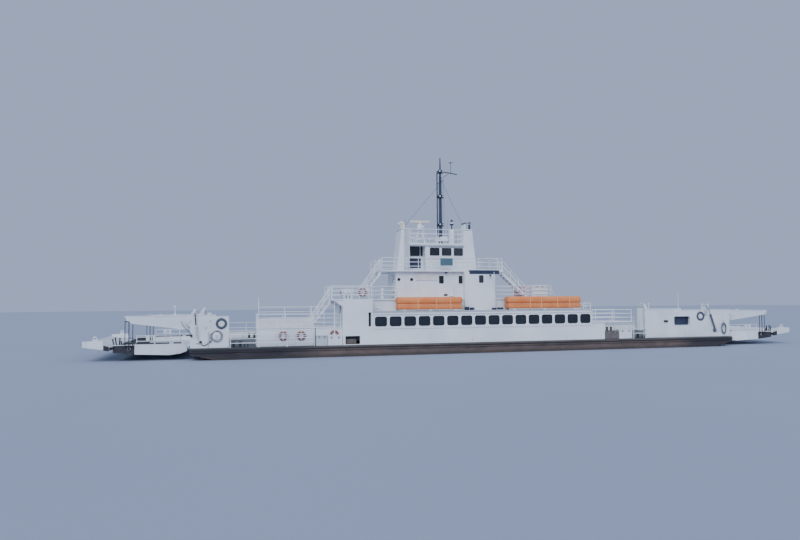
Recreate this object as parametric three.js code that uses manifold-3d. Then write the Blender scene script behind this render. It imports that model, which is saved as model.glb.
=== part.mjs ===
// Double-ended passenger and vehicle ferry with an open car deck and folding end ramps, 1:10 model.
// +X runs along the ship, -Y is the side with the superstructure, +Z is up.
// The origin is amidships on the centreline, at the waterline.
import * as THREE from 'three';
import { mergeVertices } from 'three/addons/utils/BufferGeometryUtils.js';
import Module from 'manifold-3d';

const wasm = await Module();
wasm.setup();

// Sizes are the real ferry's in metres. One metre of it is MODEL millimetres here.
const MODEL = 100;
const REST_GAP = 0.003;
const RUN_GAP = 0.05;

// Hull
const BEAM = 14;
const HALF_LENGTH = 24.4;
const WATERLINE_HALF = 22.5;
const BOTTOM_HALF = 18.4;
const DRAUGHT = 1.5;
const DECK = 0.93;
const DECK_PLATE = 0.08;
const STRAKE = 0.1;
const WALL = 0.1;
const PLATE = 0.1;

// Levels
const PLATFORM_TOP = 2.41;
const SALOON_TOP = 3.63;
const BOAT_DECK = 4.64;
const BRIDGE_DECK = 7.07;
const WHEELHOUSE_TOP = 9.5;
const FUNNEL_TOP = 10.7;
const MAST_TOP = 17.6;

// Distances inboard from the side that carries the superstructure
const CASING_OUT = 0.12;
const CASING_IN = 4.6;
const UPPER_OUT = 1.5;
const TOWER_OUT = 1.7;
const TOWER_IN = 4.7;
const HOUSE_OUT = 2.5;
const HOUSE_IN = 5.9;

// Rails
const RAIL = 0.05;
const RAIL_HEIGHT = 1.07;

// Ramp gear: the ramp and its beam turn about parallel pins, so each chain stays upright
const RAMP_PIN = { x: 24.52, z: 0.8 };
const BEAM_PIN = { x: 24.52, z: 3.05 };
const BEAM_EYE = { x: 28.9, z: 3.2 };
const FLAP_PIN = { x: 30.2, z: 1.0 };
const RAMP_SIDE = 1.3;
const RAMP_PLATE = 0.1;

const ferry = new THREE.Group();

const paint = {
  white: finish(0xd9dde0, 0.45, 0.1),
  deck: finish(0x4a4f52, 0.8, 0.1),
  hull: finish(0x5a3328, 0.6, 0.1),
  steel: finish(0x8b9094, 0.5, 0.6),
  dark: finish(0x2a3038, 0.55, 0.2),
  orange: finish(0xe07a3a, 0.6, 0),
  bronze: finish(0x9a7a42, 0.35, 0.9),
};

function finish(color, roughness, metalness) {
  return new THREE.MeshStandardMaterial({ color, roughness, metalness });
}

// Turns a three.js geometry in metres into a solid in model millimetres.
function solid(geometry) {
  geometry.deleteAttribute('normal');
  geometry.deleteAttribute('uv');
  geometry.scale(MODEL, MODEL, MODEL);
  const merged = mergeVertices(geometry, 1e-3);
  return new wasm.Manifold(new wasm.Mesh({
    numProp: 3,
    vertProperties: merged.attributes.position.array,
    triVerts: new Uint32Array(merged.index.array),
  }));
}

function join(...solids) {
  return solids.flat().reduce((all, next) => all.add(next));
}

function cut(body, ...tools) {
  return tools.flat().reduce((left, tool) => left.subtract(tool), body);
}

function box([x0, x1], [y0, y1], [z0, z1]) {
  const geometry = new THREE.BoxGeometry(Math.abs(x1 - x0), Math.abs(y1 - y0), Math.abs(z1 - z0));
  geometry.translate((x0 + x1) / 2, (y0 + y1) / 2, (z0 + z1) / 2);
  return solid(geometry);
}

// Extrudes an outline along an axis. The outline is (x, z) along y, (y, z) along x and (x, y) along z.
function prism(outline, axis, [from, to]) {
  const shape = new THREE.Shape(outline.map(([u, v]) => new THREE.Vector2(u, v)));
  const depth = Math.abs(to - from);
  const geometry = new THREE.ExtrudeGeometry(shape, { depth, bevelEnabled: false });
  const low = Math.min(from, to);
  const turn = new THREE.Matrix4();
  if (axis === 'y') {
    turn.makeBasis(vec(1, 0, 0), vec(0, 0, 1), vec(0, -1, 0));
    turn.setPosition(0, low + depth, 0);
  }
  if (axis === 'x') {
    turn.makeBasis(vec(0, 1, 0), vec(0, 0, 1), vec(1, 0, 0));
    turn.setPosition(low, 0, 0);
  }
  if (axis === 'z') {
    turn.setPosition(0, 0, low);
  }
  geometry.applyMatrix4(turn);
  return solid(geometry);
}

function vec(x, y, z) {
  return new THREE.Vector3(x, y, z);
}

// A round bar from one point to another; with few sides it is a plain bar.
function rod(from, to, radius, sides = 8, endRadius = radius) {
  const start = vec(...from);
  const line = vec(...to).sub(start);
  const geometry = new THREE.CylinderGeometry(endRadius, radius, line.length(), sides);
  geometry.translate(0, line.length() / 2, 0);
  geometry.applyQuaternion(new THREE.Quaternion().setFromUnitVectors(vec(0, 1, 0), line.normalize()));
  geometry.translate(start.x, start.y, start.z);
  return solid(geometry);
}

// Points of a rectangle with cut corners, for windows and doors.
function softRectangle([u0, u1], [v0, v1], corner) {
  return [
    [u0 + corner, v0], [u1 - corner, v0], [u1, v0 + corner], [u1, v1 - corner],
    [u1 - corner, v1], [u0 + corner, v1], [u0, v1 - corner], [u0, v0 + corner],
  ];
}

// A place measured inboard from the superstructure's side, or mirrored to the other side.
function inboard(distance, side = -1) {
  return side * (BEAM / 2 - distance);
}

function span(from, to, side = -1) {
  return [inboard(from, side), inboard(to, side)];
}

function add(name, body, material) {
  const { vertProperties, triVerts } = body.getMesh();
  const geometry = new THREE.BufferGeometry();
  geometry.setAttribute('position', new THREE.BufferAttribute(vertProperties, 3));
  geometry.setIndex(new THREE.BufferAttribute(triVerts, 1));
  geometry.computeVertexNormals();
  const mesh = new THREE.Mesh(geometry, material);
  mesh.name = name;
  ferry.add(mesh);
}

// A railing along a route of corners: square posts about a pitch apart, joined by level rails.
function railing(route, base, heights, pitch = 2.2) {
  const half = RAIL / 2;
  const top = base + Math.max(...heights);
  const parts = [];
  for (let i = 1; i < route.length; i += 1) {
    const [x0, y0] = route[i - 1];
    const [x1, y1] = route[i];
    const length = Math.hypot(x1 - x0, y1 - y0);
    const count = Math.max(1, Math.round(length / pitch));
    for (let k = i === 1 ? 0 : 1; k <= count; k += 1) {
      const x = x0 + ((x1 - x0) * k) / count;
      const y = y0 + ((y1 - y0) * k) / count;
      parts.push(box([x - half, x + half], [y - half, y + half], [base, top]));
    }
    for (const height of heights) {
      const xs = [Math.min(x0, x1) - half, Math.max(x0, x1) + half];
      const ys = [Math.min(y0, y1) - half, Math.max(y0, y1) + half];
      parts.push(box(xs, ys, [base + height - RAIL, base + height]));
    }
  }
  return join(parts);
}

const DECK_RAILS = [0.55, RAIL_HEIGHT];

// Hull: a flat-bottomed double-ended body with raked ends, bilge chamfers and rubbing strakes
const SIDE = BEAM / 2 - STRAKE;
const STRAKE_Z = [0.6, DECK - DECK_PLATE];
const HINGE_STATIONS = [2.4, 7, 11.6];
const HINGE_EAR = 0.1;
const HINGE_HALF = 0.25;

function hull() {
  const profile = [];
  const section = [
    [-SIDE, DECK - DECK_PLATE], [-SIDE, -0.9], [-SIDE + 0.8, -DRAUGHT],
    [SIDE - 0.8, -DRAUGHT], [SIDE, -0.9], [SIDE, DECK - DECK_PLATE],
  ];
  for (const end of [-1, 1]) {
    const half = [
      [end * BOTTOM_HALF, -DRAUGHT], [end * WATERLINE_HALF, 0],
      [end * HALF_LENGTH, 0.45], [end * HALF_LENGTH, DECK - DECK_PLATE],
    ];
    profile.push(...(end < 0 ? half.reverse() : half));
  }
  let body = prism(profile, 'y', [-SIDE, SIDE]).intersect(
    prism(section, 'x', [-HALF_LENGTH, HALF_LENGTH]),
  );
  for (const side of [-1, 1]) {
    const strake = box([-HALF_LENGTH, HALF_LENGTH], [side * (SIDE - 0.05), side * BEAM / 2], STRAKE_Z);
    body = join(body, strake);
  }
  for (const end of [-1, 1]) {
    for (const station of HINGE_STATIONS) {
      for (const ear of [-1, 1]) {
        const at = inboard(station) + ear * HINGE_HALF;
        body = join(body, hingeEar(end, at, at + ear * HINGE_EAR));
      }
    }
  }
  return body;
}

// An ear that stands out of the hull's end and holds the ramp's pin.
function hingeEar(end, from, to) {
  const outline = [
    [end * (HALF_LENGTH - 0.1), 0.65], [end * (RAMP_PIN.x + 0.02), 0.68],
    [end * (RAMP_PIN.x + 0.1), RAMP_PIN.z], [end * (RAMP_PIN.x + 0.02), DECK - DECK_PLATE],
    [end * (HALF_LENGTH - 0.1), DECK - DECK_PLATE],
  ];
  return prism(outline, 'y', [from, to]);
}

function carDeck() {
  return box([-HALF_LENGTH, HALF_LENGTH], [-SIDE, SIDE], [DECK - DECK_PLATE, DECK]);
}

// Lockers and fender boxes along the deck's edge, each pair built onto the platform beside it
const EDGE_BOXES = {
  // x from, x to, inboard from, inboard to, top
  left: [[-14.74, -13.85, 0.1, 0.75, 1.75], [-13.8, -12.65, 0.1, 0.75, 1.7]],
  right: [[11.2, 12.4, 0.14, 0.6, 1.65], [12.5, 13.8, 0.12, 0.62, 1.7]],
};

function edgeBoxes(end) {
  return EDGE_BOXES[end].map(([x0, x1, t0, t1, top]) => box([x0, x1], span(t0, t1), [DECK, top]));
}

// Saloon: 16 windows in the outer wall, a low stretch at its right end under a platform
const WINDOW = { first: -9.96, pitch: 1.238, width: 1.0, low: 2.39, high: 3.19, count: 16 };
const SALOON_X = [-10.147, 9.75];
const LOW_WALL_END = 11.04;
const PLATFORM_RIGHT_Z = 2.5;
const DOOR = { x: 2.4, width: 0.9, low: DECK + 0.1, high: DECK + 2.05 };

function saloonOuterWall() {
  const top = SALOON_TOP - DECK_PLATE;
  const outline = [
    [SALOON_X[0], DECK], [LOW_WALL_END, DECK], [LOW_WALL_END, PLATFORM_RIGHT_Z - PLATE],
    [SALOON_X[1], PLATFORM_RIGHT_Z - PLATE], [SALOON_X[1], top], [SALOON_X[0], top],
  ];
  const wall = prism(outline, 'y', span(CASING_OUT, CASING_OUT + WALL));
  const windows = [];
  for (let i = 0; i < WINDOW.count; i += 1) {
    const left = WINDOW.first + i * WINDOW.pitch;
    const hole = softRectangle([left, left + WINDOW.width], [WINDOW.low, WINDOW.high], 0.1);
    windows.push(prism(hole, 'y', span(CASING_OUT - WALL, CASING_OUT + 2 * WALL)));
  }
  return cut(wall, windows);
}

// Inner wall along the car deck, with the wall across the saloon's right end
function saloonInnerWall() {
  const top = SALOON_TOP - DECK_PLATE;
  const start = CASING_OUT + WALL + REST_GAP;
  const side = box(SALOON_X, span(CASING_IN - WALL, CASING_IN), [DECK, top]);
  const end = box([SALOON_X[1] - WALL, SALOON_X[1]], span(start, CASING_IN), [DECK, top]);
  const doorway = box(
    [DOOR.x, DOOR.x + DOOR.width],
    span(CASING_IN - 1, CASING_IN + 1),
    [DOOR.low, DOOR.high],
  );
  const y = inboard(CASING_IN);
  const lugs = doorLugs([DOOR.x - 0.14, DOOR.x - 0.01], [y - 0.02, y + 0.07], DOOR.low);
  return join(cut(join(side, end), doorway), lugs);
}

// Door knuckles and the two blocks that hold each of them on the wall
const KNUCKLE = { radius: 0.035, height: 0.16, lug: 0.06, heights: [0.35, 1.55] };
const STRAP_INSET = 0.02;

function doorLugs(xs, ys, low) {
  const below = [-KNUCKLE.lug, -REST_GAP];
  const above = [KNUCKLE.height + REST_GAP, KNUCKLE.height + KNUCKLE.lug];
  return KNUCKLE.heights.flatMap((height) => (
    [below, above].map(([from, to]) => box(xs, ys, [low + height + from, low + height + to]))
  ));
}

function doorKnuckles([x, y], strapX, strapY, low) {
  return KNUCKLE.heights.map((height) => {
    const z = low + height;
    const pin = rod([x, y, z], [x, y, z + KNUCKLE.height], KNUCKLE.radius);
    const strap = box(strapX, strapY, [z + STRAP_INSET, z + KNUCKLE.height - STRAP_INSET]);
    return join(pin, strap);
  });
}

// Saloon door, hung on its left edge outside the wall, opening onto the car deck
function saloonDoor() {
  const y = inboard(CASING_IN);
  const leaf = box(
    [DOOR.x + RUN_GAP, DOOR.x + DOOR.width - RUN_GAP],
    [y - 0.05, y + 0.01],
    [DOOR.low + RUN_GAP, DOOR.high - RUN_GAP],
  );
  const pin = [DOOR.x - 0.05, y + 0.035];
  return join(leaf, doorKnuckles(pin, [DOOR.x - 0.05, DOOR.x + 0.2], [y + 0.005, y + 0.03], DOOR.low));
}

function saloonRoof() {
  return box(
    [SALOON_X[0], SALOON_X[1] + 0.06],
    span(CASING_OUT - 0.06, CASING_IN),
    [SALOON_TOP - DECK_PLATE, SALOON_TOP],
  );
}

// Platform over the saloon's low right end, with its end rail and a plinth that ties the lockers to it
function platformRight() {
  const x0 = SALOON_X[1] + REST_GAP;
  const x1 = 11.8;
  const near = CASING_OUT + WALL + REST_GAP;
  const slab = box([x0, x1], span(0.06, 3), [PLATFORM_RIGHT_Z - PLATE, PLATFORM_RIGHT_Z]);
  const height = [DECK, PLATFORM_RIGHT_Z - PLATE / 2];
  const endWall = box([LOW_WALL_END - WALL, LOW_WALL_END], span(near, 3), height);
  const sideWall = box([x0, LOW_WALL_END], span(3 - WALL, 3), height);
  const route = [
    [x0 + 0.06, inboard(0.12)], [x1 - 0.05, inboard(0.12)],
    [x1 - 0.05, inboard(2.9)], [x0 + 0.06, inboard(2.9)],
  ];
  const plinth = box([LOW_WALL_END - WALL / 2, 12.6], span(0.24, 0.58), [DECK, DECK + 0.07]);
  return join(slab, endWall, sideWall, railing(route, PLATFORM_RIGHT_Z, [0.52, 1.03]), plinth, edgeBoxes('right'));
}

// Stair house: the tall white block left of the saloon, hollow, with a fender niche and a slot
const BLOCK_X = [-12.6, -10.15];

function stairHouse() {
  const top = BOAT_DECK - PLATE;
  const outer = box(BLOCK_X, span(CASING_OUT, CASING_IN), [DECK, top]);
  const room = box(
    [BLOCK_X[0] + WALL, BLOCK_X[1] - WALL],
    span(CASING_OUT + WALL, CASING_IN - WALL),
    [DECK - 1, top - WALL],
  );
  const niche = box([-12.4, -11.2], span(-1, 0.5), [DECK + 0.06, 1.65]);
  const slot = box([-10.49, -10.27], span(-1, 0.5), [2.4, 3.55]);
  const leftWall = [BLOCK_X[0] - 1, BLOCK_X[0] + 1];
  const doorway = box(leftWall, span(2, 2.9), [DECK + 0.05, DECK + 1.35]);
  const upperDoorway = box(leftWall, span(1.2, 2), [PLATFORM_TOP + 0.1, PLATFORM_TOP + 1.9]);
  return cut(outer, room, niche, slot, doorway, upperDoorway);
}

// Upper casing on the saloon roof, behind the rafts; it carries the boat deck
function upperCasing() {
  const x = [SALOON_X[0], 6.5];
  return box(x, span(UPPER_OUT, CASING_IN), [SALOON_TOP, BOAT_DECK - PLATE]);
}

// Boat deck: wide over the stair house, set back behind the rafts, with a bracket at its left end
const BOAT_DECK_X = [-13.5, 6.6];
const BOAT_DECK_IN = 5;
const DECK_LOCKERS = [
  // x from, x to, inboard from, inboard to, height
  [4.75, 6.3, 1.65, 2.3, 1.15],
  [3.5, 4.6, 2.45, 3.0, 1.1],
];
const CANISTER = { x: [-12.65, -11.66], t: 0.78, z: 5.16, radius: 0.31 };

// A round raft canister along x on two saddles
function canister() {
  const y = inboard(CANISTER.t);
  const [left, right] = CANISTER.x;
  const saddles = [left + 0.22, right - 0.22].map((x) => (
    box([x - 0.05, x + 0.05], [y - 0.24, y + 0.24], [BOAT_DECK - 0.02, CANISTER.z])
  ));
  return join(rod([left, y, CANISTER.z], [right, y, CANISTER.z], CANISTER.radius, 12), saddles);
}

function boatDeck() {
  const outline = [
    [BOAT_DECK_X[0], inboard(0.12)], [SALOON_X[0], inboard(0.12)], [SALOON_X[0], inboard(UPPER_OUT - 0.1)],
    [BOAT_DECK_X[1], inboard(UPPER_OUT - 0.1)], [BOAT_DECK_X[1], inboard(BOAT_DECK_IN)],
    [BOAT_DECK_X[0], inboard(BOAT_DECK_IN)],
  ];
  const gusset = [
    [BLOCK_X[0] - REST_GAP, BOAT_DECK - PLATE / 2], [BLOCK_X[0] - REST_GAP, BOAT_DECK - 0.62],
    [BOAT_DECK_X[0] + 0.1, BOAT_DECK - PLATE / 2],
  ];
  const lockers = DECK_LOCKERS.map(([x0, x1, t0, t1, height]) => (
    box([x0, x1], span(t0, t1), [BOAT_DECK - 0.02, BOAT_DECK + height])
  ));
  return join(
    prism(outline, 'z', [BOAT_DECK - PLATE, BOAT_DECK]),
    prism(gusset, 'y', span(0.16, 0.26)),
    prism(gusset, 'y', span(4.2, 4.3)),
    lockers,
    canister(),
  );
}

// Left platform: a raised walkway over a closed side wall
const PLATFORM_X = [-19.4, -12.603];
const PLATFORM_OUT = 0.7;

function platformLeft() {
  const outer = box(PLATFORM_X, span(PLATFORM_OUT, CASING_IN), [DECK, PLATFORM_TOP]);
  const room = box(
    [PLATFORM_X[0] + WALL, PLATFORM_X[1] + 1],
    span(PLATFORM_OUT + WALL, CASING_IN - WALL),
    [DECK - 1, PLATFORM_TOP - DECK_PLATE],
  );
  return join(cut(outer, room), edgeBoxes('left'));
}

// Tower between the boat deck and the bridge deck, hollow, with portholes, windows and a doorway
const TOWER_X = [-7.8, -1.8];
const TOWER_PORTHOLES = [-7.54, -6.41];
const PORTHOLE = { z: 6.29, radius: 0.15 };
const TOWER_WINDOWS = [[-3.95, -3.54], [-2.4, -2.03]];
const TOWER_WINDOW_Z = [5.95, 6.61];
const TOWER_DOOR = { t0: 2.4, t1: 3.2, low: BOAT_DECK + 0.1, high: BOAT_DECK + 2.0 };

function tower() {
  const top = BRIDGE_DECK - PLATE;
  const outer = box(TOWER_X, span(TOWER_OUT, TOWER_IN), [BOAT_DECK, top]);
  const room = box(
    [TOWER_X[0] + WALL, TOWER_X[1] - WALL],
    span(TOWER_OUT + WALL, TOWER_IN - WALL),
    [BOAT_DECK - 1, top + 1],
  );
  const through = span(TOWER_OUT - 1, TOWER_OUT + 0.5);
  const ports = TOWER_PORTHOLES.map((x) => (
    rod([x, through[0], PORTHOLE.z], [x, through[1], PORTHOLE.z], PORTHOLE.radius, 12)
  ));
  const windows = TOWER_WINDOWS.map((x) => prism(softRectangle(x, TOWER_WINDOW_Z, 0.06), 'y', through));
  const doorway = box(
    [TOWER_X[0] - 1, TOWER_X[0] + 0.5],
    span(TOWER_DOOR.t0, TOWER_DOOR.t1),
    [TOWER_DOOR.low, TOWER_DOOR.high],
  );
  const lugs = doorLugs(
    [TOWER_X[0] - 0.07, TOWER_X[0] + 0.02],
    span(TOWER_DOOR.t0 - 0.14, TOWER_DOOR.t0 - 0.01),
    TOWER_DOOR.low,
  );
  return join(cut(outer, room, ports, windows, doorway), lugs);
}

function towerDoor() {
  const x = TOWER_X[0];
  const leaf = box(
    [x - 0.01, x + 0.05],
    span(TOWER_DOOR.t0 + RUN_GAP, TOWER_DOOR.t1 - RUN_GAP),
    [TOWER_DOOR.low + RUN_GAP, TOWER_DOOR.high - RUN_GAP],
  );
  const y = inboard(TOWER_DOOR.t0 - 0.05);
  return join(leaf, doorKnuckles([x - 0.035, y], [x - 0.03, x - 0.005], [y, y + 0.25], TOWER_DOOR.low));
}

// Annex: the box beside the tower that reaches down to the saloon roof
const ANNEX_X = [-1.797, 1.0];
const ANNEX_OUT = 1.1;

function annex() {
  const top = BRIDGE_DECK - PLATE;
  const outer = box(ANNEX_X, span(ANNEX_OUT, 4.4), [BOAT_DECK, top]);
  const skirt = box(ANNEX_X, span(ANNEX_OUT, UPPER_OUT - 0.1 - REST_GAP), [SALOON_TOP, BOAT_DECK + 0.02]);
  const room = box(
    [ANNEX_X[0] + WALL, ANNEX_X[1] - WALL],
    span(ANNEX_OUT + WALL, 4.4 - WALL),
    [BOAT_DECK + 0.02, top + 1],
  );
  const through = span(ANNEX_OUT - 1, ANNEX_OUT + 0.5);
  const window = prism(softRectangle([-0.5, -0.09], [6.0, 6.65], 0.06), 'y', through);
  const doorway = box([ANNEX_X[1] - 0.5, ANNEX_X[1] + 1], span(2.2, 3), [BOAT_DECK + 0.1, BOAT_DECK + 2]);
  return cut(join(outer, skirt), room, window, doorway);
}

// Bridge deck with its two side platforms and edge fascia
const BRIDGE_X = [-9.1, 1.85];
const BRIDGE_OUT = 1.35;
const BRIDGE_IN = 6.4;

function bridgeDeck() {
  const slab = box(BRIDGE_X, span(BRIDGE_OUT, BRIDGE_IN), [BRIDGE_DECK - PLATE, BRIDGE_DECK]);
  const fascia = box(
    [-1.5, BRIDGE_X[1]],
    span(BRIDGE_OUT - 0.05, BRIDGE_OUT + 0.02),
    [BRIDGE_DECK - PLATE, BRIDGE_DECK + 0.12],
  );
  return join(slab, fascia);
}

// Wheelhouse walls with window bands on every side, and a bay set back at its left end
const HOUSE_X = [-4.93, -1.4];
const BAY_X = -6.36;
const BAY_OUT = 3.3;
const BAY_IN = 5.3;
const HOUSE_WINDOW_Z = [8.43, 9.11];
const END_WINDOW_Z = [8.3, HOUSE_WINDOW_Z[1]];
const NEAR_WINDOWS = [[-4.52, -3.65], [-3.42, -2.54], [-2.31, -1.47]];
const BAY_WINDOW = [-6.26, -5.05];

function wheelhouse() {
  const low = BRIDGE_DECK;
  const top = WHEELHOUSE_TOP - 0.2;
  const outer = join(
    box(HOUSE_X, span(HOUSE_OUT, HOUSE_IN), [low, top]),
    box([BAY_X, HOUSE_X[0] + 0.2], span(BAY_OUT, BAY_IN), [low, top]),
  );
  const room = join(
    box([HOUSE_X[0] + WALL, HOUSE_X[1] - WALL], span(HOUSE_OUT + WALL, HOUSE_IN - WALL), [low - 1, top + 1]),
    box([BAY_X + WALL, HOUSE_X[0] + 0.3], span(BAY_OUT + WALL, BAY_IN - WALL), [low - 1, top + 1]),
  );
  const pane = (across, upright, axis, depth) => prism(softRectangle(across, upright, 0.06), axis, depth);
  const openings = NEAR_WINDOWS.flatMap((x) => [
    pane(x, HOUSE_WINDOW_Z, 'y', span(HOUSE_OUT - 1, HOUSE_OUT + 0.5)),
    pane(x, HOUSE_WINDOW_Z, 'y', span(HOUSE_IN - 0.5, HOUSE_IN + 1)),
  ]);
  openings.push(pane(BAY_WINDOW, HOUSE_WINDOW_Z, 'y', span(BAY_OUT - 1, BAY_OUT + 0.5)));
  openings.push(pane(BAY_WINDOW, HOUSE_WINDOW_Z, 'y', span(BAY_IN - 0.5, BAY_IN + 1)));
  for (const [t0, t1] of [[BAY_OUT + 0.15, 4.2], [4.4, BAY_IN - 0.15]]) {
    openings.push(pane(span(t0, t1), END_WINDOW_Z, 'x', [BAY_X - 1, BAY_X + 0.5]));
  }
  for (const [t0, t1] of [[2.75, 3.7], [3.9, 4.85], [5.0, 5.75]]) {
    openings.push(pane(span(t0, t1), END_WINDOW_Z, 'x', [HOUSE_X[1] - 0.5, HOUSE_X[1] + 1]));
  }
  return cut(outer, room, openings);
}

// Wheelhouse roof with its rail and the white lamp post
const ROOF_X = [-6.33, -1.41];

function wheelhouseRoof() {
  const thickness = [WHEELHOUSE_TOP - 0.2, WHEELHOUSE_TOP];
  const slab = box(ROOF_X, span(HOUSE_OUT - 0.15, HOUSE_IN + 0.15), thickness);
  const near = inboard(HOUSE_OUT);
  const far = inboard(HOUSE_IN);
  const left = ROOF_X[0] + 0.1;
  const right = ROOF_X[1] - 0.1;
  const route = [[left, near], [right, near], [right, far], [left, far], [left, near]];
  const post = box([-2.35, -2.0], span(3.6, 3.95), [WHEELHOUSE_TOP - 0.05, 10.75]);
  const lampArm = rod([-2.17, inboard(3.78), 10.7], [-2.17, inboard(3.78), 11.3], 0.05, 8);
  const lamp = rod([-2.17, inboard(3.78), 11.25], [-2.17, inboard(3.78), 11.7], 0.17, 12, 0.13);
  return join(slab, railing(route, WHEELHOUSE_TOP, [0.65, 1.25]), post, lampArm, lamp);
}

// Funnels: boxes with a sloping outer side beside the wheelhouse, with exhaust pipes on top
const FUNNEL_T = [HOUSE_OUT, 4.3];
const EXHAUST = { radius: 0.11, rise: 0.5 };
const PIPES = {
  // x, inboard distance, lean of the mouth
  left: [[-6.75, 2.95, -0.3], [-6.75, 3.75, -0.3]],
  right: [[-1.0, 3.2, 0], [-1.0, 3.8, 0]],
};

function funnel(outerFoot, outerTop, inner, pipes) {
  const outline = [
    [outerFoot, BRIDGE_DECK], [inner, BRIDGE_DECK], [inner, FUNNEL_TOP], [outerTop, FUNNEL_TOP],
  ];
  const body = prism(outline, 'y', span(...FUNNEL_T));
  const top = FUNNEL_TOP + EXHAUST.rise;
  const stacks = pipes.map(([x, t, lean]) => join(
    rod([x, inboard(t), FUNNEL_TOP - 0.1], [x, inboard(t), top], EXHAUST.radius),
    rod([x, inboard(t), top - 0.08], [x + lean, inboard(t), top + 0.22], EXHAUST.radius),
  ));
  return join(body, stacks);
}

// Mast with its yards, light clusters, second pole and foot box
const MAST = { x: -2.88, t: 4.5, second: -0.3, secondZ: [11.4, 15.4] };
const MAST_LEVELS = [
  // z, reach of the yard along x, half length of the yard across the ship, half size of the cluster
  [14.0, 0.45, 0.6, 0.17],
  [16.25, 1.25, 1.1, 0.17],
];

function mast() {
  const y = inboard(MAST.t);
  const second = MAST.x + MAST.second;
  const [low, high] = MAST.secondZ;
  const parts = [
    box([MAST.x - 0.3, MAST.x + 0.3], [y - 0.3, y + 0.3], [WHEELHOUSE_TOP, WHEELHOUSE_TOP + 0.5]),
    rod([MAST.x, y, WHEELHOUSE_TOP], [MAST.x, y, MAST_TOP], 0.14, 10, 0.07),
    rod([second, y, low], [second, y, high], 0.05, 6),
  ];
  for (const z of [low, high - 0.3]) {
    parts.push(box([second - 0.03, MAST.x], [y - 0.03, y + 0.03], [z, z + 0.08]));
  }
  for (const [z, reach, half, cluster] of MAST_LEVELS) {
    parts.push(box([MAST.x, MAST.x + reach], [y - 0.04, y + 0.04], [z - 0.04, z + 0.04]));
    parts.push(box([MAST.x - 0.05, MAST.x + 0.05], [y - half, y + half], [z - 0.04, z + 0.04]));
    parts.push(box([MAST.x - cluster, MAST.x + cluster], [y - cluster, y + cluster], [z, z + 0.35]));
  }
  return join(parts);
}

// Radar: a stepped pedestal with its gearbox, and the scanner bar that turns on it
const RADAR = { x: -4.9, t: 4.4, z: 11.42 };

function radarPedestal() {
  const y = inboard(RADAR.t);
  const legs = [];
  for (const [dx, dy] of [[-1, -1], [-1, 1], [1, -1], [1, 1]]) {
    legs.push(rod(
      [RADAR.x + dx * 0.4, y + dy * 0.4, WHEELHOUSE_TOP + 0.03],
      [RADAR.x + dx * 0.12, y + dy * 0.12, RADAR.z - 0.3],
      0.045,
      6,
    ));
  }
  return join(
    box([RADAR.x - 0.46, RADAR.x + 0.46], [y - 0.46, y + 0.46], [WHEELHOUSE_TOP, WHEELHOUSE_TOP + 0.06]),
    legs,
    rod([RADAR.x, y, RADAR.z - 0.34], [RADAR.x, y, RADAR.z], 0.2, 12),
  );
}

function radarScanner() {
  const y = inboard(RADAR.t);
  const z = RADAR.z + REST_GAP;
  return join(
    rod([RADAR.x, y, z], [RADAR.x, y, z + 0.12], 0.12, 12),
    box([RADAR.x - 0.92, RADAR.x + 0.92], [y - 0.09, y + 0.09], [z + 0.1, z + 0.28]),
  );
}

// A flight of steps between two sloping strings, with a handrail on each side
const STAIR = { plate: 0.06, rail: 0.03, post: 0.05, postHeight: 0.93, tread: 0.22, treadPlate: 0.03 };

function stair([x0, z0], [x1, z1], [t0, t1], steps) {
  const y = span(t0, t1);
  const run = x1 - x0;
  const rise = z1 - z0;
  const half = STAIR.post / 2;
  const string = [[x0, z0], [x0, z0 - 0.28], [x1, z1], [x1, z1 + 0.24]];
  const parts = [];
  for (const [edge, inwards] of [[y[0], 1], [y[1], -1]]) {
    const middle = edge + (inwards * STAIR.plate) / 2;
    parts.push(prism(string, 'y', [edge, edge + inwards * STAIR.plate]));
    parts.push(rod([x0, middle, z0 + 0.9], [x1, middle, z1 + 1.0], STAIR.rail, 6));
    for (const part of [0.08, 0.92]) {
      const x = x0 + run * part;
      const z = z0 + rise * part;
      parts.push(box([x - half, x + half], [middle - half, middle + half], [z - 0.1, z + STAIR.postHeight]));
    }
  }
  for (let i = 1; i < steps; i += 1) {
    const x = x0 + (run * i) / steps;
    const z = z0 + (rise * i) / steps;
    parts.push(box([x - STAIR.tread / 2, x + STAIR.tread / 2], y, [z - STAIR.treadPlate, z]));
  }
  return join(parts);
}

// Life raft stacks: two tiers of orange boxes with cut ends, strapped to a cradle
const RAFT_T = [0.2, 1.3];
const RAFTS = {
  left: { x: [-8.0, -2.3], dividers: [-6.25, -4.65, -3.4] },
  right: { x: [1.85, 8.85], dividers: [3.9, 4.95, 6.5, 7.65] },
};
const RAFT_TOP = 4.77;

function rafts({ x, dividers }) {
  const low = SALOON_TOP + 0.1;
  const high = RAFT_TOP;
  const end = 0.22;
  const outline = [
    [x[0] + end, low], [x[1] - end, low], [x[1], low + 0.3], [x[1], high - 0.3], [x[1] - end, high],
    [x[0] + end, high], [x[0], high - 0.3], [x[0], low + 0.3],
  ];
  const body = prism(outline, 'y', span(...RAFT_T));
  const grooves = dividers.map((at) => join(
    box([at - 0.03, at + 0.03], span(RAFT_T[0] - 1, RAFT_T[0] + 0.08), [low - 1, high + 1]),
    box([at - 0.03, at + 0.03], span(RAFT_T[0] - 1, RAFT_T[1] + 1), [high - 0.08, high + 1]),
  ));
  const middle = (low + high) / 2;
  const seam = box(
    [x[0] - 1, x[1] + 1],
    span(RAFT_T[0] - 1, RAFT_T[0] + 0.05),
    [middle - 0.02, middle + 0.02],
  );
  const feet = [x[0] + 0.6, (x[0] + x[1]) / 2, x[1] - 0.6].map((at) => (
    box([at - 0.12, at + 0.12], span(RAFT_T[0] + 0.1, RAFT_T[1] - 0.1), [SALOON_TOP, low + 0.05])
  ));
  return join(cut(body, grooves, seam), feet);
}

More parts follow.
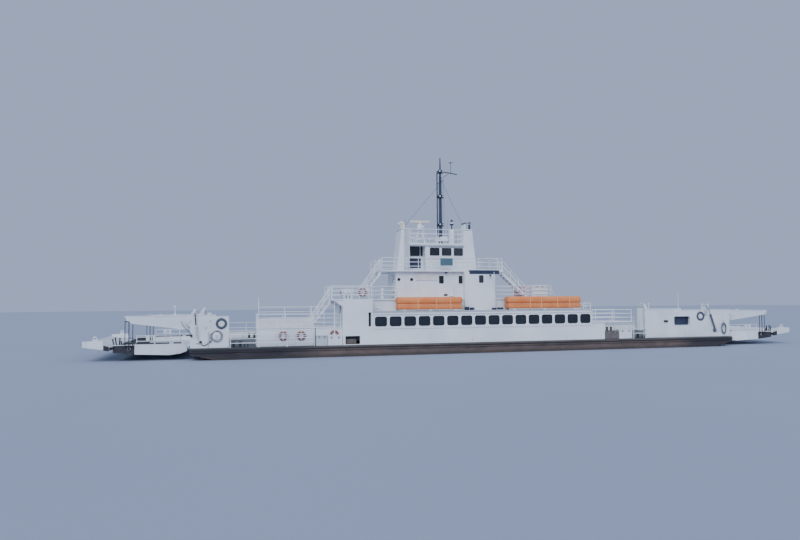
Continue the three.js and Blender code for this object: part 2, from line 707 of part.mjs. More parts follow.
// Bulwark and rail along the open side, between the gear walls
function farBulwark() {
  const wall = box([-BULWARK_X, BULWARK_X], [SIDE - 0.1, SIDE], [DECK, 1.65]);
  const route = [[-BULWARK_X + 0.1, SIDE - 0.05], [BULWARK_X - 0.1, SIDE - 0.05]];
  return join(wall, railing(route, DECK, [1.0, 1.5], 3));
}

// Gear walls: an upright plate at each corner that carries a lifting beam and its cylinder.
// From the side inwards: the cylinder, the wall, the beam with its crank, the chain, the ramp.
const GEAR_END = 24.38;
const GEAR_FOOT = DECK + REST_GAP;
const GEAR_TOP = 3.5;
const FAR_GEAR_X = 23.4;
const BULWARK_X = FAR_GEAR_X - 0.1;
const GEAR_WALL_T = [0.33, 0.6];
const GEAR_BEAM_T = [0.85, 1.12];
const CYLINDER_T = 0.19;
const BOSS = 0.22;
const EYE_HALF = 0.06;

// Each lift has the cylinder's two ends, its barrel's length, its rod's start and the beam's crank.
// The right one beside the superstructure leans; the other three stand upright.
const UPRIGHT_LIFT = {
  eye: { x: 24.05, z: 3.87 },
  foot: { x: 23.85, z: 1.45 },
  barrel: 1.25,
  shaft: 0.75,
  crank: [[24.5, 2.8], [24.7, 3.3], [24.25, 3.85], [24.08, 3.98], [23.94, 3.92], [23.93, 3.78], [24.15, 3.0]],
};
const LEANING_LIFT = {
  eye: { x: 21.9, z: 3.9 },
  foot: { x: 22.7, z: 1.5 },
  barrel: 1.6,
  shaft: 1.06,
  crank: [
    [24.6, 2.8], [24.7, 3.35], [22.35, 3.42], [22.04, 3.96], [21.9, 4.01],
    [21.78, 3.94], [21.76, 3.35], [21.95, 3.0], [23.9, 2.75],
  ],
};

function leans(end, side) {
  return end > 0 && side < 0;
}

function lift(end, side) {
  return leans(end, side) ? LEANING_LIFT : UPRIGHT_LIFT;
}

// The slot that the leaning lift's crank pin runs in where it passes through its wall
const PIN_SLOT = { x: [21.62, 21.98], low: 2.8 };

function gearWall(end, side, tops) {
  const outline = [
    [end * tops[0][0], GEAR_FOOT], [end * GEAR_END, GEAR_FOOT], [end * GEAR_END, BEAM_PIN.z - 0.45],
    [end * (BEAM_PIN.x + 0.26), BEAM_PIN.z - 0.2], [end * (BEAM_PIN.x + 0.26), BEAM_PIN.z + 0.2],
    ...[...tops].reverse().map(([x, z]) => [end * x, z]),
  ];
  const wall = prism(outline, 'y', span(...GEAR_WALL_T, side));
  const boss = rod(
    [end * BEAM_PIN.x, inboard(GEAR_WALL_T[1] - 0.05, side), BEAM_PIN.z],
    [end * BEAM_PIN.x, inboard(GEAR_BEAM_T[0] - REST_GAP, side), BEAM_PIN.z],
    BOSS,
    12,
  );
  const { foot } = lift(end, side);
  const footPin = rod(
    [end * foot.x, inboard(GEAR_WALL_T[0] + 0.05, side), foot.z],
    [end * foot.x, inboard(CYLINDER_T + EYE_HALF + REST_GAP, side), foot.z],
    0.09,
    12,
  );
  const through = span(GEAR_WALL_T[0] - 1, GEAR_WALL_T[1] + 0.2, side);
  const slot = box(PIN_SLOT.x, through, [PIN_SLOT.low, GEAR_TOP + 1]);
  return join(leans(end, side) ? cut(wall, slot) : wall, boss, footPin);
}

// Lifting beam: tapered, with a crank behind its pin and an eye for the chain at its tip
const CRANK_T = [GEAR_BEAM_T[0], 0.98];
const CHAIN_T = [1.17, 1.247];

// Each beam's top at its root, and the corners of its tip from below
const BEAM_SHAPES = {
  left: { root: 3.5, tip: [[28.71, 2.89], [29.21, 3.46]] },
  right: { root: 3.42, tip: [[28.95, 2.92], [29.12, 3.02], [29.16, 3.32]] },
  far: { root: 3.3, tip: [[28.71, 2.89], [29.18, 3.3]] },
};

function liftingBeam(end, side) {
  const nearShape = end < 0 ? BEAM_SHAPES.left : BEAM_SHAPES.right;
  const { root, tip } = side < 0 ? nearShape : BEAM_SHAPES.far;
  const outline = [
    [24.2, 2.5], [24.7, 2.37], ...tip, [24.6, root], [24.2, root - 0.08],
  ].map(([x, z]) => [end * x, z]);
  const { crank, eye } = lift(end, side);
  return join(
    prism(outline, 'y', span(...GEAR_BEAM_T, side)),
    prism(crank.map(([x, z]) => [end * x, z]), 'y', span(...CRANK_T, side)),
    rod(
      [end * eye.x, inboard(CRANK_T[0] + 0.05, side), eye.z],
      [end * eye.x, inboard(CYLINDER_T + EYE_HALF + REST_GAP, side), eye.z],
      EYE_HALF,
      10,
    ),
    rod(
      [end * BEAM_EYE.x, inboard(GEAR_BEAM_T[1] - 0.05, side), BEAM_EYE.z],
      [end * BEAM_EYE.x, inboard(CHAIN_T[0] - REST_GAP, side), BEAM_EYE.z],
      0.11,
      10,
    ),
  );
}

// Chain from the beam's tip to the ramp's outer corner: links between two spreaders, with a line beside
const RAMP_EYE = { x: BEAM_EYE.x + RAMP_PIN.x - BEAM_PIN.x, z: BEAM_EYE.z + RAMP_PIN.z - BEAM_PIN.z };
const CHAIN_LINKS = 9;
const SPREAD = 0.28;

function chain(end, side) {
  const y = span(...CHAIN_T, side);
  const middle = (y[0] + y[1]) / 2;
  const x = end * BEAM_EYE.x;
  const parts = [BEAM_EYE.z, RAMP_EYE.z].map((z) => rod([x, y[0], z], [x, y[1], z], 0.1, 10));
  const spreaderZ = [BEAM_EYE.z - 0.16, RAMP_EYE.z + 0.16];
  const across = [x - SPREAD - 0.03, x + SPREAD + 0.03];
  for (const z of spreaderZ) {
    parts.push(box(across, [middle - 0.025, middle + 0.025], [z - 0.04, z + 0.04]));
  }
  for (const offset of [-SPREAD, SPREAD]) {
    parts.push(rod(...spreaderZ.map((z) => [x + offset, middle, z]), 0.018, 4));
  }
  const link = (BEAM_EYE.z - RAMP_EYE.z) / CHAIN_LINKS;
  for (let i = 0; i < CHAIN_LINKS; i += 1) {
    const low = RAMP_EYE.z + i * link;
    parts.push(rod([x, middle, low - 0.02], [x, middle, low + link + 0.02], i % 2 ? 0.024 : 0.038, 4));
  }
  return join(parts);
}

// Hydraulic cylinder: the barrel turns on the gear wall, the rod slides out to the crank
function cylinderLine(end, side) {
  const ends = lift(end, side);
  const foot = vec(end * ends.foot.x, inboard(CYLINDER_T, side), ends.foot.z);
  const eye = vec(end * ends.eye.x, inboard(CYLINDER_T, side), ends.eye.z);
  const along = eye.clone().sub(foot).normalize();
  return { foot, eye, at: (distance) => foot.clone().addScaledVector(along, distance).toArray() };
}

function eyeAt(place, radius) {
  return rod([place.x, place.y - EYE_HALF, place.z], [place.x, place.y + EYE_HALF, place.z], radius, 12);
}

function cylinderBarrel(end, side) {
  const { foot, at } = cylinderLine(end, side);
  const { barrel } = lift(end, side);
  const tube = rod(at(0.15), at(barrel), 0.085, 10);
  const neck = rod(foot.toArray(), at(0.2), 0.055, 8);
  const bore = rod(at(0.25), at(barrel + 0.1), 0.045, 8);
  return cut(join(tube, neck, eyeAt(foot, 0.12)), bore);
}

function cylinderRod(end, side) {
  const { foot, eye, at } = cylinderLine(end, side);
  return join(rod(at(lift(end, side).shaft), at(eye.distanceTo(foot)), 0.04, 8), eyeAt(eye, 0.1));
}

// Ramp: side plates, a deck plate, cross girders at its outer end and rails on the side plates
const RAMP_IN = RAMP_PIN.x + 0.16;
const RAMP_OUT = 30.05;
const RAMP_Z = [0.4, 1.36];
const RAMP_TOE = { x: 28.5, z: 1.24 };
const RAMP_RAIL = { x: [25.2, 28.35], base: 1.15, heights: [0.36, 0.78] };

function ramp(end) {
  const side = [
    [RAMP_IN, 0.68], [RAMP_IN + 0.5, 0.5], [26, RAMP_Z[0]], [28.4, 0.5], [RAMP_OUT, 0.68],
    [RAMP_OUT, 1.18], [RAMP_TOE.x, RAMP_TOE.z], [RAMP_TOE.x - 0.1, RAMP_Z[1]],
    [RAMP_IN + 0.4, RAMP_Z[1]], [RAMP_IN, DECK + 0.1],
  ].map(([x, z]) => [end * x, z]);
  const parts = [box([end * RAMP_IN, end * RAMP_OUT], span(RAMP_SIDE, BEAM - RAMP_SIDE), [0.8, DECK])];
  for (const flank of [-1, 1]) {
    parts.push(prism(side, 'y', span(RAMP_SIDE, RAMP_SIDE + RAMP_PLATE, flank)));
    parts.push(rod(
      [end * RAMP_EYE.x, inboard(CHAIN_T[1] + REST_GAP, flank), RAMP_EYE.z],
      [end * RAMP_EYE.x, inboard(RAMP_SIDE + 0.02, flank), RAMP_EYE.z],
      0.12,
      10,
    ));
    const rail = inboard(RAMP_SIDE + RAMP_PLATE / 2, flank);
    const route = RAMP_RAIL.x.map((x) => [end * x, rail]);
    parts.push(railing(route, RAMP_RAIL.base, RAMP_RAIL.heights, 1.0));
  }
  for (const at of [25.6, 26.8, 28.0, 29.2]) {
    parts.push(box([end * at, end * (at + 0.12)], span(RAMP_SIDE, BEAM - RAMP_SIDE), [0.58, 0.85]));
  }
  for (const station of HINGE_STATIONS) {
    const y = inboard(station);
    const half = HINGE_HALF - REST_GAP;
    parts.push(hingePin(end * RAMP_PIN.x, y, RAMP_PIN.z, 0.09));
    parts.push(box([end * RAMP_PIN.x, end * (RAMP_IN + 0.1)], [y - half, y + half], [0.76, 0.86]));
    parts.push(...flapEars(end, y));
  }
  return join(parts);
}

// A knuckle across the ship that fits between two ears
function hingePin(x, y, z, radius) {
  const half = HINGE_HALF - REST_GAP;
  return rod([x, y - half, z], [x, y + half, z], radius, 10);
}

// Ears at the ramp's outer end, on both sides of the flap's knuckle
function flapEars(end, y) {
  const outline = [
    [RAMP_OUT - 0.1, 0.82], [FLAP_PIN.x + 0.08, 0.95], [FLAP_PIN.x + 0.08, 1.05], [RAMP_OUT - 0.1, 1.12],
  ].map(([x, z]) => [end * x, z]);
  return [-1, 1].map((ear) => (
    prism(outline, 'y', [y + ear * HINGE_HALF, y + ear * (HINGE_HALF + 0.08)])
  ));
}

// Flap: the white tongue that lands on the shore, tapered, with triangular brackets on its back
const FLAP_TIP = 32.2;
const HORN = [[0.35, 1.0], [1.2, 1.25], [0.95, 1.88], [0.75, 1.88]];

function flap(end) {
  const inner = FLAP_PIN.x + 0.14;
  const outline = [[end * inner, 0.78], [end * FLAP_TIP, 1.25], [end * FLAP_TIP, 1.42], [end * inner, 1.1]];
  const parts = [prism(outline, 'y', span(RAMP_SIDE, BEAM - RAMP_SIDE))];
  for (const station of HINGE_STATIONS) {
    const y = inboard(station);
    const half = HINGE_HALF - REST_GAP;
    parts.push(hingePin(end * FLAP_PIN.x, y, FLAP_PIN.z, 0.08));
    parts.push(box([end * FLAP_PIN.x, end * (inner + 0.1)], [y - half, y + half], [0.96, 1.04]));
  }
  const horn = HORN.map(([x, z]) => [end * (inner + x), z]);
  for (const flank of [-1, 1]) {
    parts.push(prism(horn, 'y', span(RAMP_SIDE, RAMP_SIDE + 0.1, flank)));
  }
  return join(parts);
}

// Azimuth thruster under the hull, with its propeller at the outer end
const THRUSTER = { x: 15, z: -2.35, half: 0.65 };
const BLADES = 4;

function thruster(end) {
  const x = end * THRUSTER.x;
  return join(
    rod([x, 0, -DRAUGHT - 0.3], [x, 0, -DRAUGHT - REST_GAP], 0.45, 16, 0.55),
    rod([x, 0, THRUSTER.z], [x, 0, -DRAUGHT - 0.25], 0.2, 12, 0.3),
    rod([x - end * THRUSTER.half, 0, THRUSTER.z], [x + end * THRUSTER.half, 0, THRUSTER.z], 0.14, 12, 0.28),
  );
}

function propeller(end) {
  const x = end * (THRUSTER.x + THRUSTER.half + REST_GAP);
  const tip = x + end * 0.32;
  const parts = [rod([x, 0, THRUSTER.z], [tip, 0, THRUSTER.z], 0.26, 12, 0.12)];
  for (let i = 0; i < BLADES; i += 1) {
    const blade = new THREE.BoxGeometry(0.04, 0.36, 0.5);
    blade.rotateZ(0.5);
    blade.translate(0, 0, 0.38);
    blade.rotateX((i * 2 * Math.PI) / BLADES);
    blade.translate(x + end * 0.14, 0, THRUSTER.z);
    parts.push(solid(blade));
  }
  return join(parts);
}

// Rails of the bridge deck and boat deck: a toe strip joins them across the heads of the stairs
function toeStrip(x, [t0, t1], z) {
  const y = span(t0, t1);
  return box([x - RAIL / 2, x + RAIL / 2], [y[0] - RAIL / 2, y[1] + RAIL / 2], [z, z + RAIL]);
}

function railsBridge() {
  const left = BRIDGE_X[0] + 0.05;
  const right = BRIDGE_X[1] - 0.05;
  const near = BRIDGE_OUT + 0.12;
  const far = inboard(BRIDGE_IN - 0.1);
  const route = [[left, inboard(2.5)], [left, far], [right, far], [right, inboard(2.5)]];
  return join(
    railing(route, BRIDGE_DECK, DECK_RAILS),
    railing([[left, inboard(near)], [right, inboard(near)]], BRIDGE_DECK, DECK_RAILS),
    toeStrip(left, [near, 2.5], BRIDGE_DECK),
    toeStrip(right, [near, 2.5], BRIDGE_DECK),
  );
}

function railsBoatDeck() {
  const left = BOAT_DECK_X[0] + 0.05;
  const right = BOAT_DECK_X[1] - 0.05;
  const inner = BOAT_DECK_IN - 0.08;
  const step = SALOON_X[0] - 0.05;
  const nearRoute = [
    [left, inboard(0.7)], [left, inboard(0.2)], [step, inboard(0.2)], [step, inboard(1.55)],
    [TOWER_X[0] - 0.1, inboard(1.55)],
  ];
  const route = [
    [left, inboard(1.7)], [left, inboard(inner)], [right, inboard(inner)], [right, inboard(1.55)],
    [ANNEX_X[1] + 0.1, inboard(1.55)],
  ];
  return join(
    railing(nearRoute, BOAT_DECK, DECK_RAILS),
    railing(route, BOAT_DECK, DECK_RAILS, 2),
    toeStrip(left, [0.7, 1.7], BOAT_DECK),
  );
}

function railsPlatformLeft() {
  const left = PLATFORM_X[0] + 0.06;
  const outer = inboard(PLATFORM_OUT + 0.06);
  const inner = inboard(CASING_IN - 0.06);
  return join(
    railing([[BLOCK_X[0] - 0.1, outer], [left, outer]], PLATFORM_TOP, [0.52, 1.03]),
    railing([[left, outer], [left, inner], [-12.7, inner]], PLATFORM_TOP, [0.52, 1.03, 1.55]),
    box([left, -14.9], [outer - 0.02, outer + 0.02], [PLATFORM_TOP + 0.04, PLATFORM_TOP + 0.68]),
  );
}

function railsDeckEdge() {
  return railing([[-21.4, inboard(0.2)], [-14.85, inboard(0.2)]], DECK, [0.67, 1.0]);
}

// Outlines of the gear walls beside the superstructure: (distance from amidships, top)
const GEAR_TOPS = {
  left: [[21.5, 3.38], [22.48, 3.38], [22.48, GEAR_TOP], [GEAR_END, GEAR_TOP]],
  right: [[15.27, 3.6], [19.09, 3.6], [19.09, 3.46], [GEAR_END, 3.46]],
  far: [[FAR_GEAR_X, 3.45], [GEAR_END, 3.45]],
};
const GEAR_OPENING = { x: [18.33, 20.06], z: [2.03, 2.87] };

// The right wall has an opening, with chamfered corners, beside its higher part
function gearWallRight() {
  const through = span(GEAR_WALL_T[0] - 1, GEAR_WALL_T[1] + 0.2);
  const hole = prism(softRectangle(GEAR_OPENING.x, GEAR_OPENING.z, 0.1), 'y', through);
  return cut(gearWall(1, -1, GEAR_TOPS.right), hole);
}

add('hull', hull(), paint.hull);
add('car_deck', carDeck(), paint.deck);
add('saloon_outer_wall', saloonOuterWall(), paint.white);
add('saloon_inner_wall', saloonInnerWall(), paint.white);
add('saloon_door', saloonDoor(), paint.white);
add('saloon_roof', saloonRoof(), paint.deck);
add('platform_right', platformRight(), paint.white);
add('stair_house', stairHouse(), paint.white);
add('upper_casing', upperCasing(), paint.white);
add('boat_deck', boatDeck(), paint.white);
add('platform_left', platformLeft(), paint.white);
add('tower', tower(), paint.white);
add('tower_door', towerDoor(), paint.white);
add('annex', annex(), paint.white);
add('bridge_deck', bridgeDeck(), paint.white);
add('wheelhouse', wheelhouse(), paint.white);
add('wheelhouse_roof', wheelhouseRoof(), paint.white);
add('funnel_left', funnel(-7.5, -7.09, BAY_X - REST_GAP, PIPES.left), paint.white);
add('funnel_right', funnel(-0.18, -0.57, HOUSE_X[1] + REST_GAP, PIPES.right), paint.white);
add('mast', mast(), paint.dark);
add('radar_pedestal', radarPedestal(), paint.white);
add('radar_scanner', radarScanner(), paint.white);
const BRIDGE_HEAD = BRIDGE_DECK - 0.05;
const BOAT_HEAD = BOAT_DECK - 0.05;
add('stair_upper_left', stair([-9.103, BRIDGE_HEAD], [-10.85, BOAT_DECK], [1.6, 2.4], 9), paint.white);
add('stair_upper_right', stair([1.853, BRIDGE_HEAD], [4.2, BOAT_DECK], [1.6, 2.4], 9), paint.white);
add('stair_lower_left', stair([-13.503, BOAT_HEAD], [-15.0, PLATFORM_TOP], [0.85, 1.6], 8), paint.white);
add('rails_bridge', railsBridge(), paint.white);
add('rails_boat_deck', railsBoatDeck(), paint.white);
add('rails_platform_left', railsPlatformLeft(), paint.white);
add('rails_deck_edge', railsDeckEdge(), paint.white);
add('rafts_left', rafts(RAFTS.left), paint.orange);
add('rafts_right', rafts(RAFTS.right), paint.orange);
add('far_bulwark', farBulwark(), paint.white);
add('gear_wall_left', gearWall(-1, -1, GEAR_TOPS.left), paint.white);
add('gear_wall_right', gearWallRight(), paint.white);
add('gear_wall_far_left', gearWall(-1, 1, GEAR_TOPS.far), paint.white);
add('gear_wall_far_right', gearWall(1, 1, GEAR_TOPS.far), paint.white);

for (const [end, endName] of [[-1, 'left'], [1, 'right']]) {
  add(`ramp_${endName}`, ramp(end), paint.white);
  add(`flap_${endName}`, flap(end), paint.white);
  add(`thruster_${endName}`, thruster(end), paint.dark);
  add(`propeller_${endName}`, propeller(end), paint.bronze);
  for (const [side, sideName] of [[-1, 'near'], [1, 'far']]) {
    add(`beam_${endName}_${sideName}`, liftingBeam(end, side), paint.white);
    add(`chain_${endName}_${sideName}`, chain(end, side), paint.dark);
    const barrelPaint = end < 0 ? paint.white : paint.dark;
    add(`barrel_${endName}_${sideName}`, cylinderBarrel(end, side), barrelPaint);
    add(`rod_${endName}_${sideName}`, cylinderRod(end, side), paint.steel);
  }
}

export default ferry;
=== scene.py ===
# Looks for the double-ended ferry model: new pieces, finishes, light and camera around the frame.
import math

import bpy
from mathutils import Matrix, Vector


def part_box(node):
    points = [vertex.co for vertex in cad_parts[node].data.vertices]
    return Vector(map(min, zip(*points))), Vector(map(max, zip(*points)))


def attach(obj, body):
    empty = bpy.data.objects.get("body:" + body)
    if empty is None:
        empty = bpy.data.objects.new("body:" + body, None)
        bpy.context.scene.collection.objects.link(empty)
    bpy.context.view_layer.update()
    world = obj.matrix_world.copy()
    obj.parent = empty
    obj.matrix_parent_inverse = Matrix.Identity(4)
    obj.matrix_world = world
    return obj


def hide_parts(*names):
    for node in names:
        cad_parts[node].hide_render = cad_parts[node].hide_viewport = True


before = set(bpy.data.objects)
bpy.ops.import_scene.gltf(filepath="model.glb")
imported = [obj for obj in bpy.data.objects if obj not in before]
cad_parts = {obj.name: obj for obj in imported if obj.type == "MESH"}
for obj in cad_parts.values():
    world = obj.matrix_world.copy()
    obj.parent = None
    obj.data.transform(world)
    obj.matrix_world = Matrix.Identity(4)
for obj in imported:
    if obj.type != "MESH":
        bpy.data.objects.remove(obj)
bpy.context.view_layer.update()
print("frame loaded:", len(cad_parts), "nodes")

# Sizes below are the real ferry's, in metres. One metre of it is this long in the model.
metre = 0.1
ends = {"left": -1, "right": 1}  # along x
sides = {"near": -1, "far": 1}  # along y


def extent(node):  # lowest and highest corner of a frame node, in the real ferry's metres
    low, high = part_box(node)
    return low / metre, high / metre


halfBeam = extent("hull")[1].y
level = {
    "deck": extent("saloon_outer_wall")[0].z,
    "platform": extent("platform_left")[1].z,
    "saloonRoof": extent("saloon_roof")[1].z,
    "boatDeck": extent("tower")[0].z,
    "bridgeDeck": extent("wheelhouse")[0].z,
    "roof": extent("radar_pedestal")[0].z,
}


def spot(x, inboard, z, side=-1):  # a place measured inboard from the side with the superstructure
    return Vector((x, side * (halfBeam - inboard), z))


def placer(end, side=-1):  # spot for one end and side of the ship
    return lambda x, inboard, z: spot(end * x, inboard, z, side)


# Modelling helpers
def bare():
    bpy.ops.object.select_all(action="DESELECT")


def pick(made):
    bare()
    made.select_set(True)
    bpy.context.view_layer.objects.active = made


def settle(made):  # puts the object's place, turn and size into its mesh
    pick(made)
    bpy.ops.object.transform_apply(location=True, rotation=True, scale=True)
    return made


def soften(made, width, rounds=1):  # bevels the sharp edges
    settle(made)
    bpy.ops.object.mode_set(mode="EDIT")
    bpy.ops.mesh.select_mode(type="EDGE")
    bpy.ops.mesh.select_all(action="DESELECT")
    bpy.ops.mesh.edges_select_sharp(sharpness=math.radians(40))
    bpy.ops.mesh.bevel(offset=width * metre, segments=rounds, affect="EDGES")
    bpy.ops.object.mode_set(mode="OBJECT")
    return made


def block(one, other, edge=0.0, rounds=1):  # a box between two corners
    low = Vector(map(min, one, other)) * metre
    high = Vector(map(max, one, other)) * metre
    bare()
    bpy.ops.mesh.primitive_cube_add(size=1, location=(low + high) / 2)
    made = bpy.context.active_object
    made.scale = high - low
    return soften(made, edge, rounds) if edge else made


def bar(start, end, radius, sides=10, endRadius=None, edge=0.0):  # a round bar or cone
    start, end = Vector(start) * metre, Vector(end) * metre
    line = end - start
    tip = radius if endRadius is None else endRadius
    bare()
    bpy.ops.mesh.primitive_cone_add(
        vertices=sides, radius1=radius * metre, radius2=tip * metre, depth=line.length,
        location=(start + end) / 2, rotation=line.to_track_quat("Z", "Y").to_euler(),
    )
    made = bpy.context.active_object
    return soften(made, edge) if edge else made


def ball(centre, size, sides=10):
    bare()
    place = Vector(centre) * metre
    bpy.ops.mesh.primitive_uv_sphere_add(segments=sides, ring_count=sides // 2 + 1, radius=1, location=place)
    made = bpy.context.active_object
    made.scale = (Vector(size) if hasattr(size, "__len__") else Vector((size, size, size))) * metre
    return made


def hoop(centre, radius, thickness, towards=(0, 1, 0), around=24, across=8):
    bare()
    bpy.ops.mesh.primitive_torus_add(
        major_radius=radius * metre, minor_radius=thickness * metre, major_segments=around,
        minor_segments=across, location=Vector(centre) * metre,
        rotation=Vector(towards).to_track_quat("Z", "Y").to_euler(),
    )
    return bpy.context.active_object


def plate(outline, axis, start, end, edge=0.0):  # an outline pushed along an axis
    corners = {
        "x": lambda u, v: (start, u, v), "y": lambda u, v: (u, start, v), "z": lambda u, v: (u, v, start),
    }[axis]
    bare()
    bpy.ops.mesh.primitive_circle_add(vertices=len(outline), fill_type="NGON")
    made = bpy.context.active_object
    for vertex, (u, v) in zip(made.data.vertices, outline):
        vertex.co = Vector(corners(u, v)) * metre
    push = Vector(tuple(float(axis == name) for name in "xyz")) * (end - start) * metre
    bpy.ops.object.mode_set(mode="EDIT")
    bpy.ops.mesh.select_all(action="SELECT")
    bpy.ops.mesh.extrude_region_move(TRANSFORM_OT_translate={"value": push})
    bpy.ops.mesh.select_all(action="SELECT")
    bpy.ops.mesh.normals_make_consistent(inside=False)
    bpy.ops.object.mode_set(mode="OBJECT")
    return soften(made, edge) if edge else made


def box(xs, inboards, heights, edge=0.0, rounds=1, side=-1):  # a box between two inboard distances
    one, other = zip(xs, inboards, heights)
    return block(spot(*one, side), spot(*other, side), edge, rounds)


def pole(foot, low, high, radius, sides=8, tip=None, edge=0.0):  # an upright bar at (x, inboard)
    return bar(spot(*foot, low), spot(*foot, high), radius, sides, tip, edge)


def pin(place, at, inboards, radius, sides=20, edge=0.0):  # a bar across the ship at (x, height)
    one, other = (place(at[0], inboard, at[1]) for inboard in inboards)
    return bar(one, other, radius, sides, edge=edge)


def circle(count, radius, axis="y", start=0.0):  # even offsets on a circle, seen along an axis
    for k in range(count):
        turn = 2 * math.pi * (k + start) / count
        u, v = math.cos(turn) * radius, math.sin(turn) * radius
        yield Vector((u, 0, v) if axis == "y" else (u, v, 0))


def upright(end, outline, near, far, edge=0.0):  # an outline along the ship, mirrored at the left end
    return plate([(end * x, z) for x, z in outline], "y", near, far, edge)


def pipe(points, radius, smooth=False, rounds=1, loop=False):  # a tube along a route
    bare()
    bpy.ops.curve.primitive_nurbs_path_add()
    made = bpy.context.active_object
    curve = made.data
    curve.splines.clear()
    spline = curve.splines.new("NURBS" if smooth else "POLY")
    spline.points.add(len(points) - 1)
    for point, place in zip(spline.points, points):
        point.co = (*(Vector(place) * metre), 1)
    spline.use_cyclic_u = loop
    spline.order_u = 3
    spline.use_endpoint_u = True
    curve.dimensions = "3D"
    curve.resolution_u = 4
    curve.bevel_depth = radius * metre
    curve.bevel_resolution = rounds
    curve.use_fill_caps = True
    made.location = (0, 0, 0)
    pick(made)
    bpy.ops.object.convert(target="MESH")
    return bpy.context.active_object


def moved(made, move, turn=0.0):  # turned about the upright axis, then shifted
    place = Matrix.Translation(Vector(move) * metre) @ Matrix.Rotation(math.radians(turn), 4, "Z")
    made.matrix_world = place @ made.matrix_world
    return made


def copyOf(made, move, turn=0.0):  # a copy with its own mesh
    twin = made.copy()
    twin.data = made.data.copy()
    bpy.context.scene.collection.objects.link(twin)
    return moved(twin, move, turn)


def modified(made, kind, **settings):  # adds a modifier and applies it
    settle(made)
    modifier = made.modifiers.new("shape", kind)
    for name, value in settings.items():
        setattr(modifier, name, value)
    bpy.ops.object.modifier_apply(modifier=modifier.name)
    return made


def rowOf(made, count, step):  # repeats a piece along a line
    return modified(
        made, "ARRAY", count=count, use_relative_offset=False, use_constant_offset=True,
        constant_offset_displace=Vector(step) * metre,
    )


def coat(finish, *parts):
    for part in parts:
        part.data.materials.clear()
        part.data.materials.append(finish)
    return list(parts)


def merge(parts):
    bare()
    for part in parts:
        part.select_set(True)
    bpy.context.view_layer.objects.active = parts[0]
    if len(parts) > 1:
        bpy.ops.object.join()
    return settle(bpy.context.active_object)


def piece(name, parts, finish, slot, body="ship", stands=()):
    for part in parts:
        if not part.data.materials:
            part.data.materials.append(finish)
    made = merge(parts)
    made.name = name
    bpy.ops.object.mode_set(mode="EDIT")
    bpy.ops.mesh.select_all(action="SELECT")
    bpy.ops.mesh.remove_doubles(threshold=1e-6)
    bpy.ops.mesh.normals_make_consistent(inside=False)
    bpy.ops.object.mode_set(mode="OBJECT")
    bpy.ops.object.shade_smooth_by_angle(angle=math.radians(35))
    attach(made, body)
    if stands:
        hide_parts(*stands)
    return made


# Finishes. Object coordinates are the model's metres, so a pattern's scale comes from a real size.
def linear(code):  # an sRGB hex colour as linear values
    channels = [int(code[i:i + 2], 16) / 255 for i in (1, 3, 5)]
    return [c / 12.92 if c <= 0.04045 else ((c + 0.055) / 1.055) ** 2.4 for c in channels] + [1.0]


def per(size):  # a texture scale that gives features of this real size
    return 1 / (size * metre)


def put(tree, kind, values):  # adds a node, sets its values and links its inputs
    new = tree.nodes.new("ShaderNode" + kind)
    for name, value in values.items():
        if isinstance(name, str) and name not in new.inputs:
            setattr(new, name, value)
        elif isinstance(value, bpy.types.NodeSocket):
            tree.links.new(value, new.inputs[name])
        else:
            new.inputs[name].default_value = value
    return new.outputs


def finishOf(name, **shader):  # a material with its shader's plain values set
    material = bpy.data.materials.new(name)
    material.use_nodes = True
    tree = material.node_tree
    surface = tree.nodes["Principled BSDF"]
    for socket, value in shader.items():
        surface.inputs[socket.replace("_", " ")].default_value = value
    where = put(tree, "TexCoord", {})["Object"]
    return material, tree, surface, where


def noise(tree, where, size, low=0.0, high=1.0, detail=3.0, stretch=(1, 1, 1)):
    scaled = put(tree, "Mapping", {"Vector": where, "Scale": stretch})["Vector"]
    raw = put(tree, "TexNoise", {"Vector": scaled, "Scale": per(size), "Detail": detail})["Fac"]
    ramp = {"Value": raw, "From Min": 0.3, "From Max": 0.7, "To Min": low, "To Max": high}
    return put(tree, "MapRange", ramp)["Result"]


def patches(tree, where, size, start, end, detail=4.0, stretch=(1, 1, 1)):  # 0 outside, 1 inside
    scaled = put(tree, "Mapping", {"Vector": where, "Scale": stretch})["Vector"]
    raw = put(tree, "TexNoise", {"Vector": scaled, "Scale": per(size), "Detail": detail})["Fac"]
    ramp = {"Value": raw, "From Min": start, "From Max": end, "interpolation_type": "SMOOTHSTEP"}
    return put(tree, "MapRange", ramp)["Result"]


def blendOf(tree, share, one, other):
    values = {"data_type": "RGBA", 0: share, 6: one, 7: other}
    return put(tree, "Mix", values)[2]


def times(tree, one, other):
    return put(tree, "Math", {"operation": "MULTIPLY", 0: one, 1: other})[0]


def bumped(tree, surface, height, depth, strength=1.0):
    values = {"Height": height, "Distance": depth * metre, "Strength": strength}
    tree.links.new(put(tree, "Bump", values)["Normal"], surface.inputs["Normal"])


def enamel(name, colour, aged, rust, rustShare, rough):
    # Alkyd enamel rolled on welded steel: satin, a little uneven over the frames, with thin rust runs
    material, tree, surface, where = finishOf(name)
    body = blendOf(tree, noise(tree, where, 2.2, 0, 1), linear(colour), linear(aged))
    runs = patches(tree, where, 0.16, 0.58, 0.74, 3, (1, 1, 0.07))
    zones = patches(tree, where, 1.6, 0.5, 0.64, 2)
    specks = patches(tree, where, 0.07, 0.7, 0.76, 2)
    spots = times(tree, specks, patches(tree, where, 0.9, 0.52, 0.62, 2))
    marks = put(tree, "Math", {"operation": "MAXIMUM", 0: times(tree, runs, zones), 1: spots})[0]
    body = blendOf(tree, times(tree, marks, rustShare), body, linear(rust))
    tree.links.new(body, surface.inputs["Base Color"])
    tree.links.new(noise(tree, where, 0.4, rough - 0.08, rough + 0.1), surface.inputs["Roughness"])
    bumped(tree, surface, noise(tree, where, 0.75, 0, 1, 2), 0.012, 0.6)
    return material


